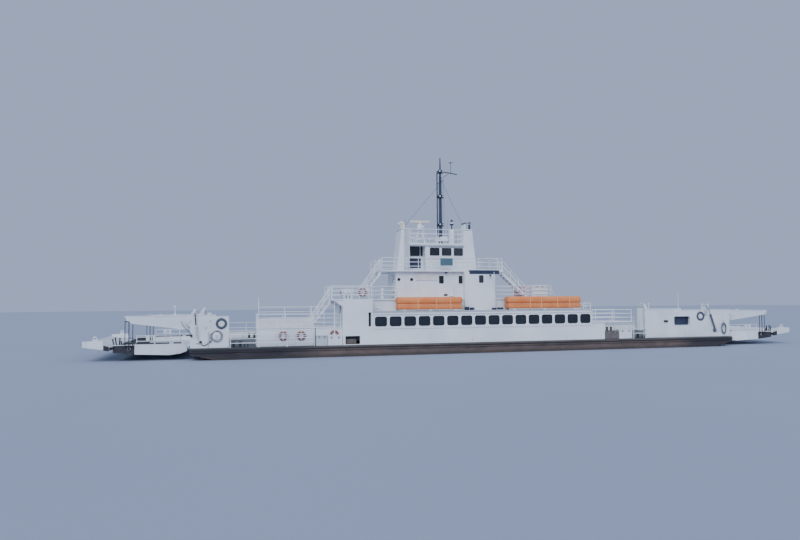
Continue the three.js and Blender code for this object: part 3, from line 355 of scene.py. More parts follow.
whitePaint = enamel("white topside enamel", "#E1E6EB", "#CDD3D9", "#8C6A52", 0.38, 0.42)
housePaint = enamel("white superstructure enamel", "#E4E8ED", "#D4D9E0", "#93755F", 0.25, 0.38)
pinkPaint = enamel("sun-bleached red enamel", "#D9A9AC", "#CC9497", "#8A5B4C", 0.3, 0.5)
greyPaint = enamel("pale grey bulwark enamel", "#B9C0C8", "#A7AFB7", "#7F6656", 0.35, 0.5)
tealPaint = enamel("muted teal enamel", "#4E6E78", "#456270", "#5C5A50", 0.15, 0.4)


def bitumenHull():
    # Black bitumen enamel, rubbed down to brown primer and rust along the middle of the ship
    material, tree, surface, where = finishOf("bitumen enamel over rusty plate")
    split = put(tree, "SeparateXYZ", {"Vector": where})
    shifted = put(tree, "Math", {"operation": "SUBTRACT", 0: split["X"], 1: 0.3})[0]
    along = put(tree, "Math", {"operation": "ABSOLUTE", 0: shifted})[0]
    wavy = put(tree, "Math", {
        "operation": "ADD", 0: along, 1: noise(tree, where, 3.0, -0.25, 0.25, 4, (0.35, 1, 1)),
    })[0]
    middle = {"Value": wavy, "From Min": 1.98, "From Max": 1.55, "interpolation_type": "SMOOTHSTEP"}
    worn = put(tree, "MapRange", middle)["Result"]
    black = blendOf(tree, noise(tree, where, 1.2, 0, 1), linear("#221F27"), linear("#2F2C34"))
    grain = noise(tree, where, 0.6, 0, 1, 5, (0.5, 1, 1))
    brown = blendOf(tree, grain, linear("#4C423F"), linear("#685854"))
    colour = blendOf(tree, worn, black, brown)
    scrapes = patches(tree, where, 0.35, 0.6, 0.68, 5, (0.12, 1, 1))
    colour = blendOf(tree, times(tree, scrapes, 0.4), colour, linear("#74503F"))
    slime = {"Value": split["Z"], "From Min": 0.035, "From Max": 0.012, "interpolation_type": "SMOOTHSTEP"}
    wet = put(tree, "MapRange", slime)["Result"]
    colour = blendOf(tree, times(tree, wet, 0.6), colour, linear("#2B2A24"))
    tree.links.new(colour, surface.inputs["Base Color"])
    tree.links.new(noise(tree, where, 0.3, 0.42, 0.68), surface.inputs["Roughness"])
    bumped(tree, surface, noise(tree, where, 0.5, 0, 1, 6), 0.02, 0.7)
    return material


def deckPaint():
    # Grit-filled deck paint: matt dark grey, worn paler where wheels run
    material, tree, surface, where = finishOf("anti-skid deck paint", Roughness=0.82)
    lanes = patches(tree, where, 1.4, 0.46, 0.62, 4, (0.12, 1, 1))
    grit = noise(tree, where, 0.035, 0, 1, 2)  # coarser than the real grit, which is too fine to show
    colour = blendOf(tree, lanes, linear("#474D50"), linear("#5C6163"))
    stains = patches(tree, where, 0.5, 0.6, 0.7, 5)
    colour = blendOf(tree, times(tree, stains, 0.5), colour, linear("#4C3D34"))
    tree.links.new(colour, surface.inputs["Base Color"])
    bumped(tree, surface, grit, 0.006, 0.6)
    return material


def raftCanvas():
    # Orange glass-fibre floats faded by the sun, with chalky patches
    material, tree, surface, where = finishOf("faded orange glass fibre", Roughness=0.52)
    colour = blendOf(tree, noise(tree, where, 0.8, 0, 1, 4), linear("#D9793F"), linear("#E18A52"))
    dirt = patches(tree, where, 0.2, 0.55, 0.72, 4, (1, 1, 0.3))
    colour = blendOf(tree, times(tree, dirt, 0.35), colour, linear("#A9623A"))
    tree.links.new(colour, surface.inputs["Base Color"])
    bumped(tree, surface, noise(tree, where, 0.12, 0, 1, 3), 0.004, 0.5)
    return material


def plain(name, colours, size, rough, depth=0.003, metal=0.0, **shader):
    # A finish that only varies a little in tone, shine and height
    material, tree, surface, where = finishOf(name, Metallic=metal, **shader)
    colour = blendOf(tree, noise(tree, where, size, 0, 1, 4), linear(colours[0]), linear(colours[1]))
    tree.links.new(colour, surface.inputs["Base Color"])
    tree.links.new(noise(tree, where, size * 0.6, rough[0], rough[1]), surface.inputs["Roughness"])
    bumped(tree, surface, noise(tree, where, size * 0.3, 0, 1, 3), depth, 0.5)
    return material


hullPaint = bitumenHull()
antiSkid = deckPaint()
raftShell = raftCanvas()
raftTop = plain("sun-bleached orange cover", ("#EA9A66", "#E68C54"), 0.8, (0.5, 0.65), 0.004)
raftStrap = plain("pale orange webbing", ("#F0B184", "#E39A68"), 0.2, (0.6, 0.8), 0.003)
# Toughened glass seen against a dark inside: nearly black with a sharp sheen
windowGlass = plain("dark toughened glass", ("#171C24", "#1F2630"), 0.7, (0.04, 0.09), 0.002)
rubber = plain("black rubber", ("#17181B", "#24262A"), 0.2, (0.6, 0.85), 0.006)
mastPaint = plain("navy mast enamel", ("#1B2540", "#28324A"), 0.5, (0.35, 0.55), 0.004)
tubePaint = plain("blue-grey cylinder enamel", ("#4C566C", "#5A6478"), 0.3, (0.3, 0.5), 0.002)
# Brown-grey painted shade: stands for the dark inside of a recess at the deck's edge and of the niche
recessShadePaint = plain("brown-grey painted recess shade", ("#5A5552", "#6B6460"), 0.3, (0.5, 0.7), 0.004)
creamPaint = plain("cream scanner enamel", ("#E6DFCE", "#DAD2BF"), 0.4, (0.35, 0.5), 0.002)
toePaint = plain("tar-coated steel", ("#1E2127", "#31343A"), 0.35, (0.5, 0.8), 0.012)
galvanised = plain("hot-dip galvanised steel", ("#83898E", "#9BA1A5"), 0.08, (0.35, 0.6), 0.002, 0.9)
chainSteel = plain("greased chain steel", ("#26282C", "#3A3B3D"), 0.06, (0.35, 0.6), 0.003, 0.7)
chrome = plain("hard chrome on steel", ("#C9CDD0", "#DADDDF"), 0.1, (0.1, 0.18), 0.0005, 1.0)
bronze = plain("cast nickel bronze", ("#8A6A3C", "#6F6040"), 0.15, (0.3, 0.5), 0.003, 1.0)
buoyRed = plain("aged red polyethylene", ("#93504A", "#7E423C"), 0.2, (0.45, 0.6), 0.002)
buoyDark = plain("blue-grey foam rubber", ("#4A5263", "#3C4453"), 0.2, (0.55, 0.7), 0.004)
buoyWhite = plain("white reflective tape", ("#D8DCE0", "#C4C9CE"), 0.1, (0.3, 0.45), 0.001)
rope = plain("weathered polypropylene rope", ("#B7B29F", "#9C9785"), 0.03, (0.7, 0.9), 0.004)
lens = plain("frosted lamp glass", ("#D9DEDD", "#C6CCCB"), 0.05, (0.15, 0.3), 0.001)
boardPaint = plain("white signboard paint", ("#DADBDD", "#CDC9CC"), 0.5, (0.35, 0.5), 0.002)
print("finishes made:", len(bpy.data.materials))

# Finishes of the frame's own nodes that stay in view; the rest are white
cadFinishes = {
    "hull": hullPaint, "car_deck": antiSkid, "saloon_roof": greyPaint, "boat_deck": housePaint,
    "saloon_outer_wall": housePaint, "saloon_inner_wall": housePaint, "stair_house": housePaint,
    "upper_casing": housePaint, "platform_left": whitePaint, "tower": housePaint, "annex": housePaint,
    "bridge_deck": housePaint, "wheelhouse": housePaint, "funnel_left": housePaint,
    "funnel_right": housePaint,
}
for name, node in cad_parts.items():
    node.data.materials.clear()
    node.data.materials.append(cadFinishes.get(name, whitePaint))


# Camera, floor and light
cameraAt = {"x": -20.49, "y": -58.35, "z": 4.5, "heading": 13.83, "tilt": 2.73, "roll": -0.4, "lens": 28.8}


def addCamera():
    camera = bpy.data.objects.new("camera", bpy.data.cameras.new("camera"))
    bpy.context.scene.collection.objects.link(camera)
    camera.data.lens = cameraAt["lens"]
    camera.data.clip_end = 200
    turn = Matrix.Rotation(math.radians(-cameraAt["heading"]), 4, "Z")
    turn = turn @ Matrix.Rotation(math.radians(90 + cameraAt["tilt"]), 4, "X")
    turn = turn @ Matrix.Rotation(math.radians(cameraAt["roll"]), 4, "Z")
    place = Vector((cameraAt["x"], cameraAt["y"], cameraAt["z"])) * metre
    camera.matrix_world = Matrix.Translation(place) @ turn
    bpy.context.scene.camera = camera


studio = {
    "floor": 60.0, "sky": "#A4B4D6", "skyStrength": 1.0,
    # name, where the light comes from, width of its soft source in degrees, strength, colour
    "lamps": [
        ("key", (-0.45, -0.8, 0.75), 50, 2.7, "#F3F5FA"),
        ("fill", (0.7, -0.65, 0.45), 70, 0.7, "#E6EDF9"),
    ],
}


def addStudio():
    world = bpy.data.worlds.new("studio air")
    bpy.context.scene.world = world
    world.use_nodes = True
    background = world.node_tree.nodes["Background"]
    background.inputs["Color"].default_value = linear(studio["sky"])
    background.inputs["Strength"].default_value = studio["skyStrength"]
    for name, source, width, strength, colour in studio["lamps"]:
        lamp = bpy.data.objects.new(name, bpy.data.lights.new(name, "SUN"))
        bpy.context.scene.collection.objects.link(lamp)
        lamp.data.angle = math.radians(width)
        lamp.data.energy = strength
        lamp.data.color = linear(colour)[:3]
        lamp.rotation_euler = (-Vector(source)).to_track_quat("-Z", "Y").to_euler()
    bare()
    bpy.ops.mesh.primitive_plane_add(size=studio["floor"])
    floor = bpy.context.active_object
    floor.name = "floor"
    material, tree, surface, where = finishOf("pale studio floor", Roughness=0.7)
    shade = put(tree, "TexNoise", {"Vector": where, "Scale": 0.6, "Detail": 2.0})["Fac"]
    colour = blendOf(tree, shade, linear("#8F9AAF"), linear("#959FB4"))
    tree.links.new(colour, surface.inputs["Base Color"])
    floor.data.materials.append(material)


addCamera()
addStudio()
print("camera, floor and light made")


# Rails: round pipe courses on stanchions with ball joints and foot plates
railSizes = {"pipe": 0.03, "post": 0.034, "ball": 0.05, "foot": 0.08, "footHeight": 0.02}


def stanchion(base, heights):
    top = base + max(heights)
    foot = base + railSizes["footHeight"]
    parts = [bar((0, 0, base), (0, 0, top), railSizes["post"], 8)]
    parts.append(bar((0, 0, base), (0, 0, foot), railSizes["foot"], 8))
    parts += [ball((0, 0, base + height), railSizes["ball"], 8) for height in heights]
    return merge(parts)


def railing(route, base, heights, pitch=2.0, side=-1):  # a route of (x, inboard) corners
    places = [spot(x, inboard, 0, side) for x, inboard in route]
    post = stanchion(base, heights)
    parts = []
    for index, (start, end) in enumerate(zip(places, places[1:])):
        count = max(1, round((end - start).length / pitch))
        for k in range(1 if index else 0, count + 1):
            parts.append(copyOf(post, start.lerp(end, k / count)))
    bpy.data.objects.remove(post)
    for height in heights:
        parts.append(pipe([(*place.xy, base + height) for place in places], railSizes["pipe"]))
    return parts


def curbs(x, inboards, z):  # the low strip that a rail gap leaves at the head of a stair
    start, end = (spot(x, inboard, z) for inboard in inboards)
    return [block(start - Vector((0.025, 0.02, 0)), end + Vector((0.025, 0.02, 0.05)), 0.008)]


railRuns = {
    "bridge": {
        "base": level["bridgeDeck"], "heights": (0.36, 0.72, 1.07),
        "runs": [[(-9.05, 2.5), (-9.05, 6.3), (1.8, 6.3), (1.8, 2.5)], [(-9.05, 1.47), (1.8, 1.47)]],
        "gaps": [(-9.05, (1.47, 2.5)), (1.8, (1.47, 2.5))],
    },
    "boat_deck": {
        "base": level["boatDeck"], "heights": (0.36, 0.72, 1.07),
        "runs": [
            [(-13.45, 0.7), (-13.45, 0.2), (-10.2, 0.2), (-10.2, 1.55), (-7.9, 1.55)],
            [(-13.45, 1.7), (-13.45, 4.92), (6.55, 4.92), (6.55, 1.55), (1.1, 1.55)],
        ],
        "gaps": [(-13.45, (0.7, 1.7))],
    },
    "platform_left": {
        "base": level["platform"], "heights": (0.34, 0.69, 1.03),
        "runs": [[(-12.7, 0.76), (-19.34, 0.76), (-19.34, 4.54), (-12.7, 4.54)]],
        "gaps": [],
    },
    "deck_edge": {
        "base": level["deck"], "heights": (0.34, 0.67, 1.0),
        "runs": [[(-21.4, 0.2), (-14.85, 0.2)]], "gaps": [],
    },
}


def addRails():
    for name, run in railRuns.items():
        parts = []
        for route in run["runs"]:
            parts += railing(route, run["base"], run["heights"])
        for x, inboards in run["gaps"]:
            parts += curbs(x, inboards, run["base"])
        piece(f"pipe_rails_{name}", parts, housePaint, "white_paint", stands=[f"rails_{name}"])


# Windows: a rounded pane in a rubber-bedded frame that stands a little proud of the wall
faces = {"near": 0, "right": 90, "far": 180, "left": 270}


def paneShape(width, height, corner):
    bare()
    bpy.ops.mesh.primitive_plane_add(size=metre, rotation=(math.radians(90), 0, 0))
    made = bpy.context.active_object
    made.scale = (width, height, 1)
    settle(made)
    bpy.ops.object.mode_set(mode="EDIT")
    bpy.ops.mesh.select_all(action="SELECT")
    bpy.ops.mesh.bevel(offset=corner * metre, segments=4, affect="VERTICES")
    bpy.ops.object.mode_set(mode="OBJECT")
    return made


def frameShape(width, height, corner, border, depth):  # an upright ring around the pane
    made = paneShape(width + 2 * border, height + 2 * border, corner + border)
    bpy.ops.object.mode_set(mode="EDIT")
    bpy.ops.mesh.select_all(action="SELECT")
    bpy.ops.mesh.inset(thickness=border * 1.6 * metre)
    bpy.ops.mesh.delete(type="FACE")
    bpy.ops.object.mode_set(mode="OBJECT")
    modified(made, "SOLIDIFY", thickness=depth * metre, offset=0)
    return soften(made, 0.006)


def window(centre, width, height, face="near", corner=0.1, sunk=0.03):
    border = 0.045
    parts = coat(windowGlass, modified(
        paneShape(width + 0.02, height + 0.02, corner), "SOLIDIFY", thickness=0.02 * metre, offset=0,
    ))
    parts = [moved(part, (0, sunk, 0)) for part in parts]
    parts += coat(rubber, frameShape(width - 0.03, height - 0.03, corner, border * 0.6, 0.05))
    parts += coat(housePaint, moved(frameShape(width, height, corner, border, 0.03), (0, -0.005, 0)))
    made = merge(parts)
    return moved(made, centre, faces[face])


saloonWindows = {"first": -9.96, "pitch": 1.238, "width": 1.0, "low": 2.39, "high": 3.19, "count": 16}


def addSaloonWindows():
    low, high = saloonWindows["low"], saloonWindows["high"]
    wall = extent("saloon_outer_wall")[0]
    centre = Vector((saloonWindows["first"] + saloonWindows["width"] / 2, wall.y, (low + high) / 2))
    panes = rowOf(
        window(centre, saloonWindows["width"], high - low, corner=0.17),
        saloonWindows["count"], (saloonWindows["pitch"], 0, 0),
    )
    ledge = block((-10.05, wall.y - 0.05, 2.2), (9.7, wall.y + 0.01, 2.235), 0.008)
    gutter = block((-10.14, wall.y - 0.07, 3.36), (9.78, wall.y + 0.01, 3.4), 0.01)
    seams = [block((x, wall.y - 0.012, 1.0), (x + 0.03, wall.y + 0.01, 2.15)) for x in (-5.4, -0.4, 4.6)]
    piece("saloon_windows", [panes, *coat(housePaint, ledge, gutter, *seams)], housePaint, "white_paint")


towerLights = {
    "portholes": [(-7.54, 6.29), (-6.41, 6.29)], "portRadius": 0.15,
    # x, height, width and height of each window
    "middle": (-3.745, 6.28, 0.41, 0.66), "right": (-2.0, 6.28, 0.34, 0.66),
    "annex": (-0.295, 6.325, 0.41, 0.65),
}


def porthole(centre, radius):
    parts = coat(windowGlass, bar((0, 0.04, 0), (0, 0.015, 0), radius + 0.01, 20))
    parts += coat(housePaint, hoop((0, 0, 0), radius + 0.015, 0.03, around=20))
    parts += coat(rubber, hoop((0, 0.01, 0), radius - 0.015, 0.016, around=20))
    return moved(merge(parts), centre)


def addTowerLights():
    wall, annexWall = spot(0, 1.7, 0).y, extent("annex")[0].y
    parts = [porthole((x, wall, z), towerLights["portRadius"]) for x, z in towerLights["portholes"]]
    for name, y, sunk in (("middle", wall, 0.03), ("right", wall - 0.036, 0.01), ("annex", annexWall, 0.03)):
        x, z, width, height = towerLights[name]
        parts.append(window((x, y, z), width, height, corner=0.06, sunk=sunk))
    doubler = block((-2.5, wall - 0.012, 5.86), (-1.56, wall + 0.01, 6.7), 0.004)  # behind the right window
    piece("tower_windows", [*parts, *coat(housePaint, doubler)], housePaint, "white_paint")


house = {
    # x ranges on the long walls, inboard ranges on the ends, and the heights between which they lie
    "near": [(-4.52, -3.65), (-3.42, -2.54), (-2.31, -1.47)], "z": (8.43, 9.11),
    "bay": [(-6.11, -5.24), (-5.17, -4.97)], "bayZ": (8.43, 9.26),
    "left": [(3.45, 4.2), (4.4, 5.15)], "right": [(2.75, 3.7), (3.9, 4.85), (5.0, 5.75)], "endZ": (8.3, 9.11),
}


def addHouseWindows():
    low, high = extent("wheelhouse")
    z0, z1 = house["z"]
    parts = []
    for wall, face in ((low.y, "near"), (high.y, "far")):
        for x0, x1 in house["near"]:
            parts.append(window(((x0 + x1) / 2, wall, (z0 + z1) / 2), x1 - x0, z1 - z0, face, 0.06))
    z0, z1 = house["bayZ"]
    for inboard, face, out in ((3.3, "near", -0.035), (5.3, "far", 0.035)):  # on a cover plate
        y = spot(0, inboard, 0).y
        parts += coat(housePaint, block((-6.33, y, 8.32), (-4.94, y + out / 3, 9.295)))
        for x0, x1 in house["bay"]:
            centre = ((x0 + x1) / 2, y + out, (z0 + z1) / 2)
            parts.append(window(centre, x1 - x0, z1 - z0, face, 0.05, sunk=0.005))
    z0, z1 = house["endZ"]
    for x, face in ((low.x, "left"), (high.x, "right")):
        for t0, t1 in house[face]:
            parts.append(window(spot(x, (t0 + t1) / 2, (z0 + z1) / 2), t1 - t0, z1 - z0, face, 0.06))
    piece("wheelhouse_windows", parts, housePaint, "white_paint")


# Life floats: two tiers of blocks in each stack, banded and looped with grab line
floats = {
    "left": {"x": (-8.0, -2.3), "joints": [-6.25, -4.65, -3.4]},
    "right": {"x": (1.85, 8.85), "joints": [3.9, 4.95, 6.5, 7.65]},
    "inboard": (0.2, 1.3), "low": 3.73, "high": 4.77,
}


def grabLine(x0, x1, z):  # sagging loops of rope along the outer face
    y = spot(0, floats["inboard"][0] - 0.015, 0).y
    count = max(2, round((x1 - x0) / 0.55))
    points = []
    for k in range(count * 4 + 1):
        sag = 0.07 * abs(math.sin(math.pi * k / 4))
        points.append((x0 + (x1 - x0) * k / (count * 4), y, z - sag))
    return pipe(points, 0.011, smooth=True)


def addFloats(end):
    stack = floats[end]
    edges = [stack["x"][0], *stack["joints"], stack["x"][1]]
    x0, x1 = stack["x"]
    low, high = floats["low"], floats["high"]
    middle = (low + high) / 2
    t0, t1 = floats["inboard"]
    made = coat(
        raftShell, box((x0, x1), (t0, t1), (middle - 0.06, high), 0.2, 4),
        box((x0 + 0.04, x1 - 0.04), (t0 + 0.02, t1 - 0.02), (low, middle - 0.02), 0.14, 3),
    )
    made += coat(raftTop, box((x0 + 0.1, x1 - 0.1), (t0 + 0.1, t1 - 0.1), (high - 0.05, high + 0.012), 0.03))
    made += coat(rope, *[grabLine(a + 0.12, b - 0.12, middle - 0.04) for a, b in zip(edges, edges[1:])])
    for x in stack["joints"]:
        xs = (x - 0.035, x + 0.035)
        made += coat(
            raftStrap, box(xs, (t0 - 0.012, t1), (middle - 0.04, high + 0.02), 0.012),
            box(xs, (t0 + 0.01, t0 + 0.06), (low, middle)),
        )
    for x in (x0 + 0.6, (x0 + x1) / 2, x1 - 0.6):  # cradles, with a rail along each side
        heights = (level["saloonRoof"], 3.8)
        made += coat(housePaint, box((x - 0.12, x + 0.12), (t0 + 0.1, t1 - 0.1), heights, 0.02))
    for inboards in ((t0 + 0.12, t0 + 0.2), (t1 - 0.2, t1 - 0.12)):
        made += coat(housePaint, box((x0 + 0.1, x1 - 0.1), inboards, (3.66, 3.75), 0.015))
    piece(f"life_floats_{end}", made, raftShell, "raft_case", stands=[f"rafts_{end}"])
    print("life floats made,", end)


# Lifebuoys: a red ring with four pale bands, a grab line and two hooks
buoys = {
    "radius": 0.29, "thickness": 0.085, "band": 7,
    # x, inboard distance of the wall behind, height of the centre
    "rails": [(-17.33, 0.7, 1.75), (-15.9, 0.7, 1.75), (-13.23, 0.7, 1.75), (-10.75, 1.45, 5.2)],
    "walls": [(-22.07, 0.4, 2.81), (21.2, 0.4, 2.85)],
}


def lifebuoy(shade):
    banded = shade == buoyRed
    grow = 1 if banded else 1.15
    ring = hoop((0, 0, 0), buoys["radius"] * grow, buoys["thickness"] * grow, around=48, across=10)
    ring.scale = (1, 1, 0.8)
    settle(ring)
    ring.data.materials.append(shade)
    ring.data.materials.append(buoyWhite)
    for face in ring.data.polygons:
        turn = math.degrees(math.atan2(face.center.z, face.center.x)) % 90
        face.material_index = int(banded and (turn < buoys["band"] or turn > 90 - buoys["band"]))
    reach = (buoys["radius"] + buoys["thickness"]) * grow + 0.012
    line = [out * (reach - 0.03 * abs(math.sin(math.pi * k / 8))) for k, out in enumerate(circle(32, 1))]
    parts = [ring, *coat(rope, pipe(line, 0.011, loop=True))]
    for x in (-0.2, 0.2):
        parts += coat(galvanised, pipe([(x, 0.09, -0.2), (x, -0.1, -0.23), (x, -0.1, -0.14)], 0.012))
    return merge(parts)


def addLifebuoys():
    parts = []
    for shade, places in ((buoyRed, buoys["rails"]), (buoyDark, buoys["walls"])):
        model = lifebuoy(shade)
        for x, inboard, z in places:
            parts.append(copyOf(model, spot(x, inboard - 0.08, z)))
        bpy.data.objects.remove(model)
    piece("lifebuoys", parts, buoyRed, "raft_case")


# Stairs: channel strings, grating treads with nosings and pipe handrails
flights = {
    "stair_upper_left": {"head": (-9.1, 7.02), "foot": (-10.85, 4.64), "inboard": (1.6, 2.4), "steps": 9},
    "stair_upper_right": {"head": (1.85, 7.02), "foot": (4.2, 4.64), "inboard": (1.6, 2.4), "steps": 9},
    "stair_lower_left": {"head": (-13.5, 4.59), "foot": (-15.0, 2.41), "inboard": (0.85, 1.6), "steps": 8},
}


def addStair(name, flight):
    (x0, z0), (x1, z1) = flight["head"], flight["foot"]
    t0, t1 = flight["inboard"]
    run, rise = x1 - x0, z1 - z0
    web = [(x0, z0), (x0, z0 - 0.28), (x1, z1), (x1, z1 + 0.24)]
    parts = []
    for t, inner in ((t0, t0 + 0.05), (t1 - 0.05, t1)):
        parts.append(upright(1, web, spot(0, t, 0).y, spot(0, inner, 0).y, 0.008))
        middle = (t + inner) / 2
        for lift in (0.5, 0.93):
            rail = [spot(x0, middle, z0 + lift + 0.06), spot(x1, middle, z1 + lift)]
            parts.append(pipe(rail, railSizes["pipe"]))
        for share in (0.03, 0.36, 0.68, 0.97):
            post, z = (x0 + run * share, middle), z0 + rise * share - 0.05
            parts += [pole(post, z, z + 1.03, railSizes["pipe"]), ball(spot(*post, z + 1.02), 0.035, 8)]
    tread = (t0 + 0.05, t1 - 0.05)
    for k in range(1, flight["steps"]):
        x = x0 + run * k / flight["steps"]
        z = z0 + rise * k / flight["steps"]
        nose = x + math.copysign(0.11, run)
        parts += coat(galvanised, box((x - 0.11, x + 0.11), tread, (z - 0.028, z)))
        parts.append(box((nose - 0.015, nose + 0.015), tread, (z - 0.05, z + 0.004)))
    piece(name + "_pipework", parts, housePaint, "white_paint", stands=[name])
    print("stair made:", name)


def addStairs():
    for name, flight in flights.items():
        addStair(name, flight)


# Mast: two stayed poles with collars, a yard to the right, lamps, a wind gauge and halyards
mastPlan = {
    "x": -2.88, "inboard": 4.5, "top": 17.6, "poleGap": 0.3, "collars": (11.4, 14.0, 16.3), "yard": 16.25,
    "yardEnd": -1.25, "gauge": -1.85, "stay": ((-2.4, 15.2), (-0.9, 10.8)),
}


def addMast():
    x, t = mastPlan["x"], mastPlan["inboard"]
    foot, top = level["roof"], mastPlan["top"]
    second = x - mastPlan["poleGap"]
    parts = [
        pole((x, t), foot, foot + 0.25, 0.24, 16, 0.2), pole((x, t), foot, 15.9, 0.15, 16, 0.11),
        pole((x, t), 15.8, top, 0.09, 12, 0.045), pole((second, t), foot + 0.9, 16.2, 0.055, 10),
    ]
    for z in mastPlan["collars"]:
        parts += [
            pole((x, t), z - 0.16, z + 0.16, 0.2, 14, edge=0.02),
            box((second - 0.06, x), (t - 0.04, t + 0.04), (z - 0.05, z + 0.05), 0.012),
        ]
        for dx, dt in ((0.24, 0), (-0.1, 0.24), (-0.1, -0.24)):  # lamps on short brackets
            lamp = (x + dx, t + dt)
            parts += [
                bar(spot(x, t, z - 0.1), spot(*lamp, z - 0.1), 0.025, 6),
                pole(lamp, z - 0.12, z - 0.04, 0.09, 12),
            ]
            parts += coat(lens, pole(lamp, z - 0.04, z + 0.1, 0.07, 12))
            parts.append(pole(lamp, z + 0.1, z + 0.14, 0.09, 12, 0.04))
    z, gauge = mastPlan["yard"], mastPlan["gauge"]
    (sx, sz), (ex, ez) = mastPlan["stay"]
    for radius, *route in (
        (0.045, (x, t, z + 0.1), (mastPlan["yardEnd"], t, z - 0.12)),
        (0.025, (x, t, z - 0.7), (x + 0.9, t, z)), (0.022, (gauge, t, z - 0.05), (gauge, t, z + 0.95)),
        (0.012, (sx - 0.4, t, sz + 0.3), (ex, 3.4, ez)), (0.012, (x, t, 15.2), (-6.9, 3.4, 10.7)),
    ):
        parts.append(pipe([spot(*place) for place in route], radius))
    hub = spot(gauge, t, z + 0.95)
    for cup in circle(3, 0.14, "z"):
        parts += [bar(hub, hub + cup, 0.012, 5), ball(hub + cup, 0.055, 8)]
    for side in (-1, 1):  # halyard yard across the ship
        parts.append(pipe([spot(x, t, 15.4), spot(x, t + side * 1.1, 15.3)], 0.03))
        for out in (side * 0.55, side):
            parts.append(pipe([spot(x, t + out, 15.32), spot(x, t + out * 1.15, foot + 0.9)], 0.009))
    for z in range(11, 17):  # climbing irons between the poles
        for lift in (0.0, 0.33, 0.66):
            if z + lift < 16:
                parts.append(pin(spot, (second, z + lift), (t - 0.12, t + 0.12), 0.014, 6))
    parts += coat(housePaint, box((-3.1, -2.4), (t - 0.7, t - 0.25), (foot + 0.35, foot + 0.75), 0.03))
    for leg in (-3.05, -2.45):
        parts += coat(housePaint, box((leg - 0.03, leg + 0.03), (t - 0.5, t - 0.44), (foot, foot + 0.36)))
    piece("stayed_mast", parts, mastPaint, "dark_paint", stands=["mast"])


# Radar: a braced pedestal with its gearbox, and the scanner bar on the turning body
radar = {"x": -4.9, "inboard": 4.4, "top": 11.42, "half": 0.92}


def addRadar():
    x, t, top = radar["x"], radar["inboard"], radar["top"]
    foot = level["roof"]
    parts = [box((x - 0.46, x + 0.46), (t - 0.46, t + 0.46), (foot, foot + 0.06), 0.015)]
    legs = []
    for a, b in ((-1, -1), (-1, 1), (1, 1), (1, -1)):
        rise = ((0.4, foot + 0.05), (0.14, top - 0.5))
        legs.append([spot(x + a * out, t + b * out, z) for out, z in rise])
    for one, other in zip(legs, legs[1:] + legs[:1]):
        parts.append(pipe(one, 0.04))
        for share in (0.35, 0.7):
            parts.append(bar(one[0].lerp(one[1], share), other[0].lerp(other[1], share), 0.02, 6))
    parts += [
        pole((x, t), top - 0.55, top - 0.47, 0.34, 20, edge=0.015),
        pole((x, t), top - 0.47, top - 0.05, 0.27, 20, 0.25, 0.05), pole((x, t), top - 0.07, top, 0.12, 16),
        bar(spot(x + 0.1, t, top - 0.25), spot(x + 0.4, t, top - 0.25), 0.12, 14, edge=0.015),
    ]
    piece("radar_mount", parts, housePaint, "white_paint", stands=["radar_pedestal"])
    z, half = top + 0.003, radar["half"]
    housing = box((x - half, x + half), (t - 0.1, t + 0.1), (z + 0.08, z + 0.3), 0.05, 3)
    hub = pole((x, t), z, z + 0.12, 0.12, 16, 0.1)
    seam = coat(greyPaint, box((x - 0.9, x + 0.9), (t - 0.103, t - 0.095), (z + 0.18, z + 0.2)))
    parts = [housing, hub, *seam]
    piece("radar_bar_housing", parts, creamPaint, "white_paint", "radar_bar", ["radar_scanner"])


# Wheelhouse roof: plate with a rolled edge, rails, the white post with its lamp, horns and domes
roofPlan = {
    "x": (-6.33, -1.41), "inboard": (2.35, 6.05), "post": (-2.05, 3.78), "postTop": 10.9, "lamp": 11.3,
}


def addRoof():
    (x0, x1), (t0, t1) = roofPlan["x"], roofPlan["inboard"]
    top = level["roof"]
    parts = [box((x0, x1), (t0, t1), (top - 0.2, top), 0.035, 2)]
    parts.append(box((x0 + 0.03, x1 - 0.03), (t0 - 0.03, t0 + 0.02), (top - 0.12, top - 0.07), 0.01))
    a, b, near, far = x0 + 0.1, x1 - 0.1, t0 + 0.15, t1 - 0.15
    parts += railing([(a, near), (b, near), (b, far), (a, far), (a, near)], top, (0.42, 0.84, 1.25), 1.1)
    post = x, t = roofPlan["post"]
    lamp = roofPlan["lamp"]
    parts.append(box((x - 0.18, x + 0.18), (t - 0.18, t + 0.18), (top, roofPlan["postTop"]), 0.04, 2))
    parts += coat(
        mastPaint, pole(post, roofPlan["postTop"], lamp + 0.05, 0.05, 10),
        pole(post, lamp, lamp + 0.12, 0.17, 16),
        pole(post, lamp + 0.32, lamp + 0.52, 0.17, 16, 0.04),
    )
    parts += coat(lens, pole(post, lamp + 0.12, lamp + 0.32, 0.13, 16))
    for dome in ((-5.6, 3.1), (-3.6, 5.6)):  # satellite domes on stub poles
        parts += [pole(dome, top, top + 0.55, 0.03), ball(spot(*dome, top + 0.62), (0.13, 0.13, 0.09), 14)]
    for x in (-3.9, -3.68):  # twin air horns
        parts += [
            bar(spot(x, 3.1, top + 0.3), spot(x, 2.5, top + 0.3), 0.03, 12, 0.1),
            pole((x, 3.0), top, top + 0.3, 0.025),
        ]
    for x in (-5.9, -4.2, -1.8):  # whip aerials
        parts += coat(mastPaint, pole((x, t1 - 0.3), top, top + 2.6, 0.018, 6, 0.006))
    piece("roof_with_rails", parts, housePaint, "white_paint", stands=["wheelhouse_roof"])


# Funnels: louvres, rims and the exhaust pipes
funnels = {
    "top": extent("funnel_left")[1].z - 0.72, "inboard": (2.5, 4.3),
    "left": {"x": (-7.5, -6.36), "pipes": [(-6.75, 2.95), (-6.75, 3.75)], "lean": -0.34},
    "right": {"x": (-1.4, -0.18), "pipes": [(-1.0, 3.2), (-1.0, 3.8), (-0.68, 2.9)], "lean": 0.0},
}


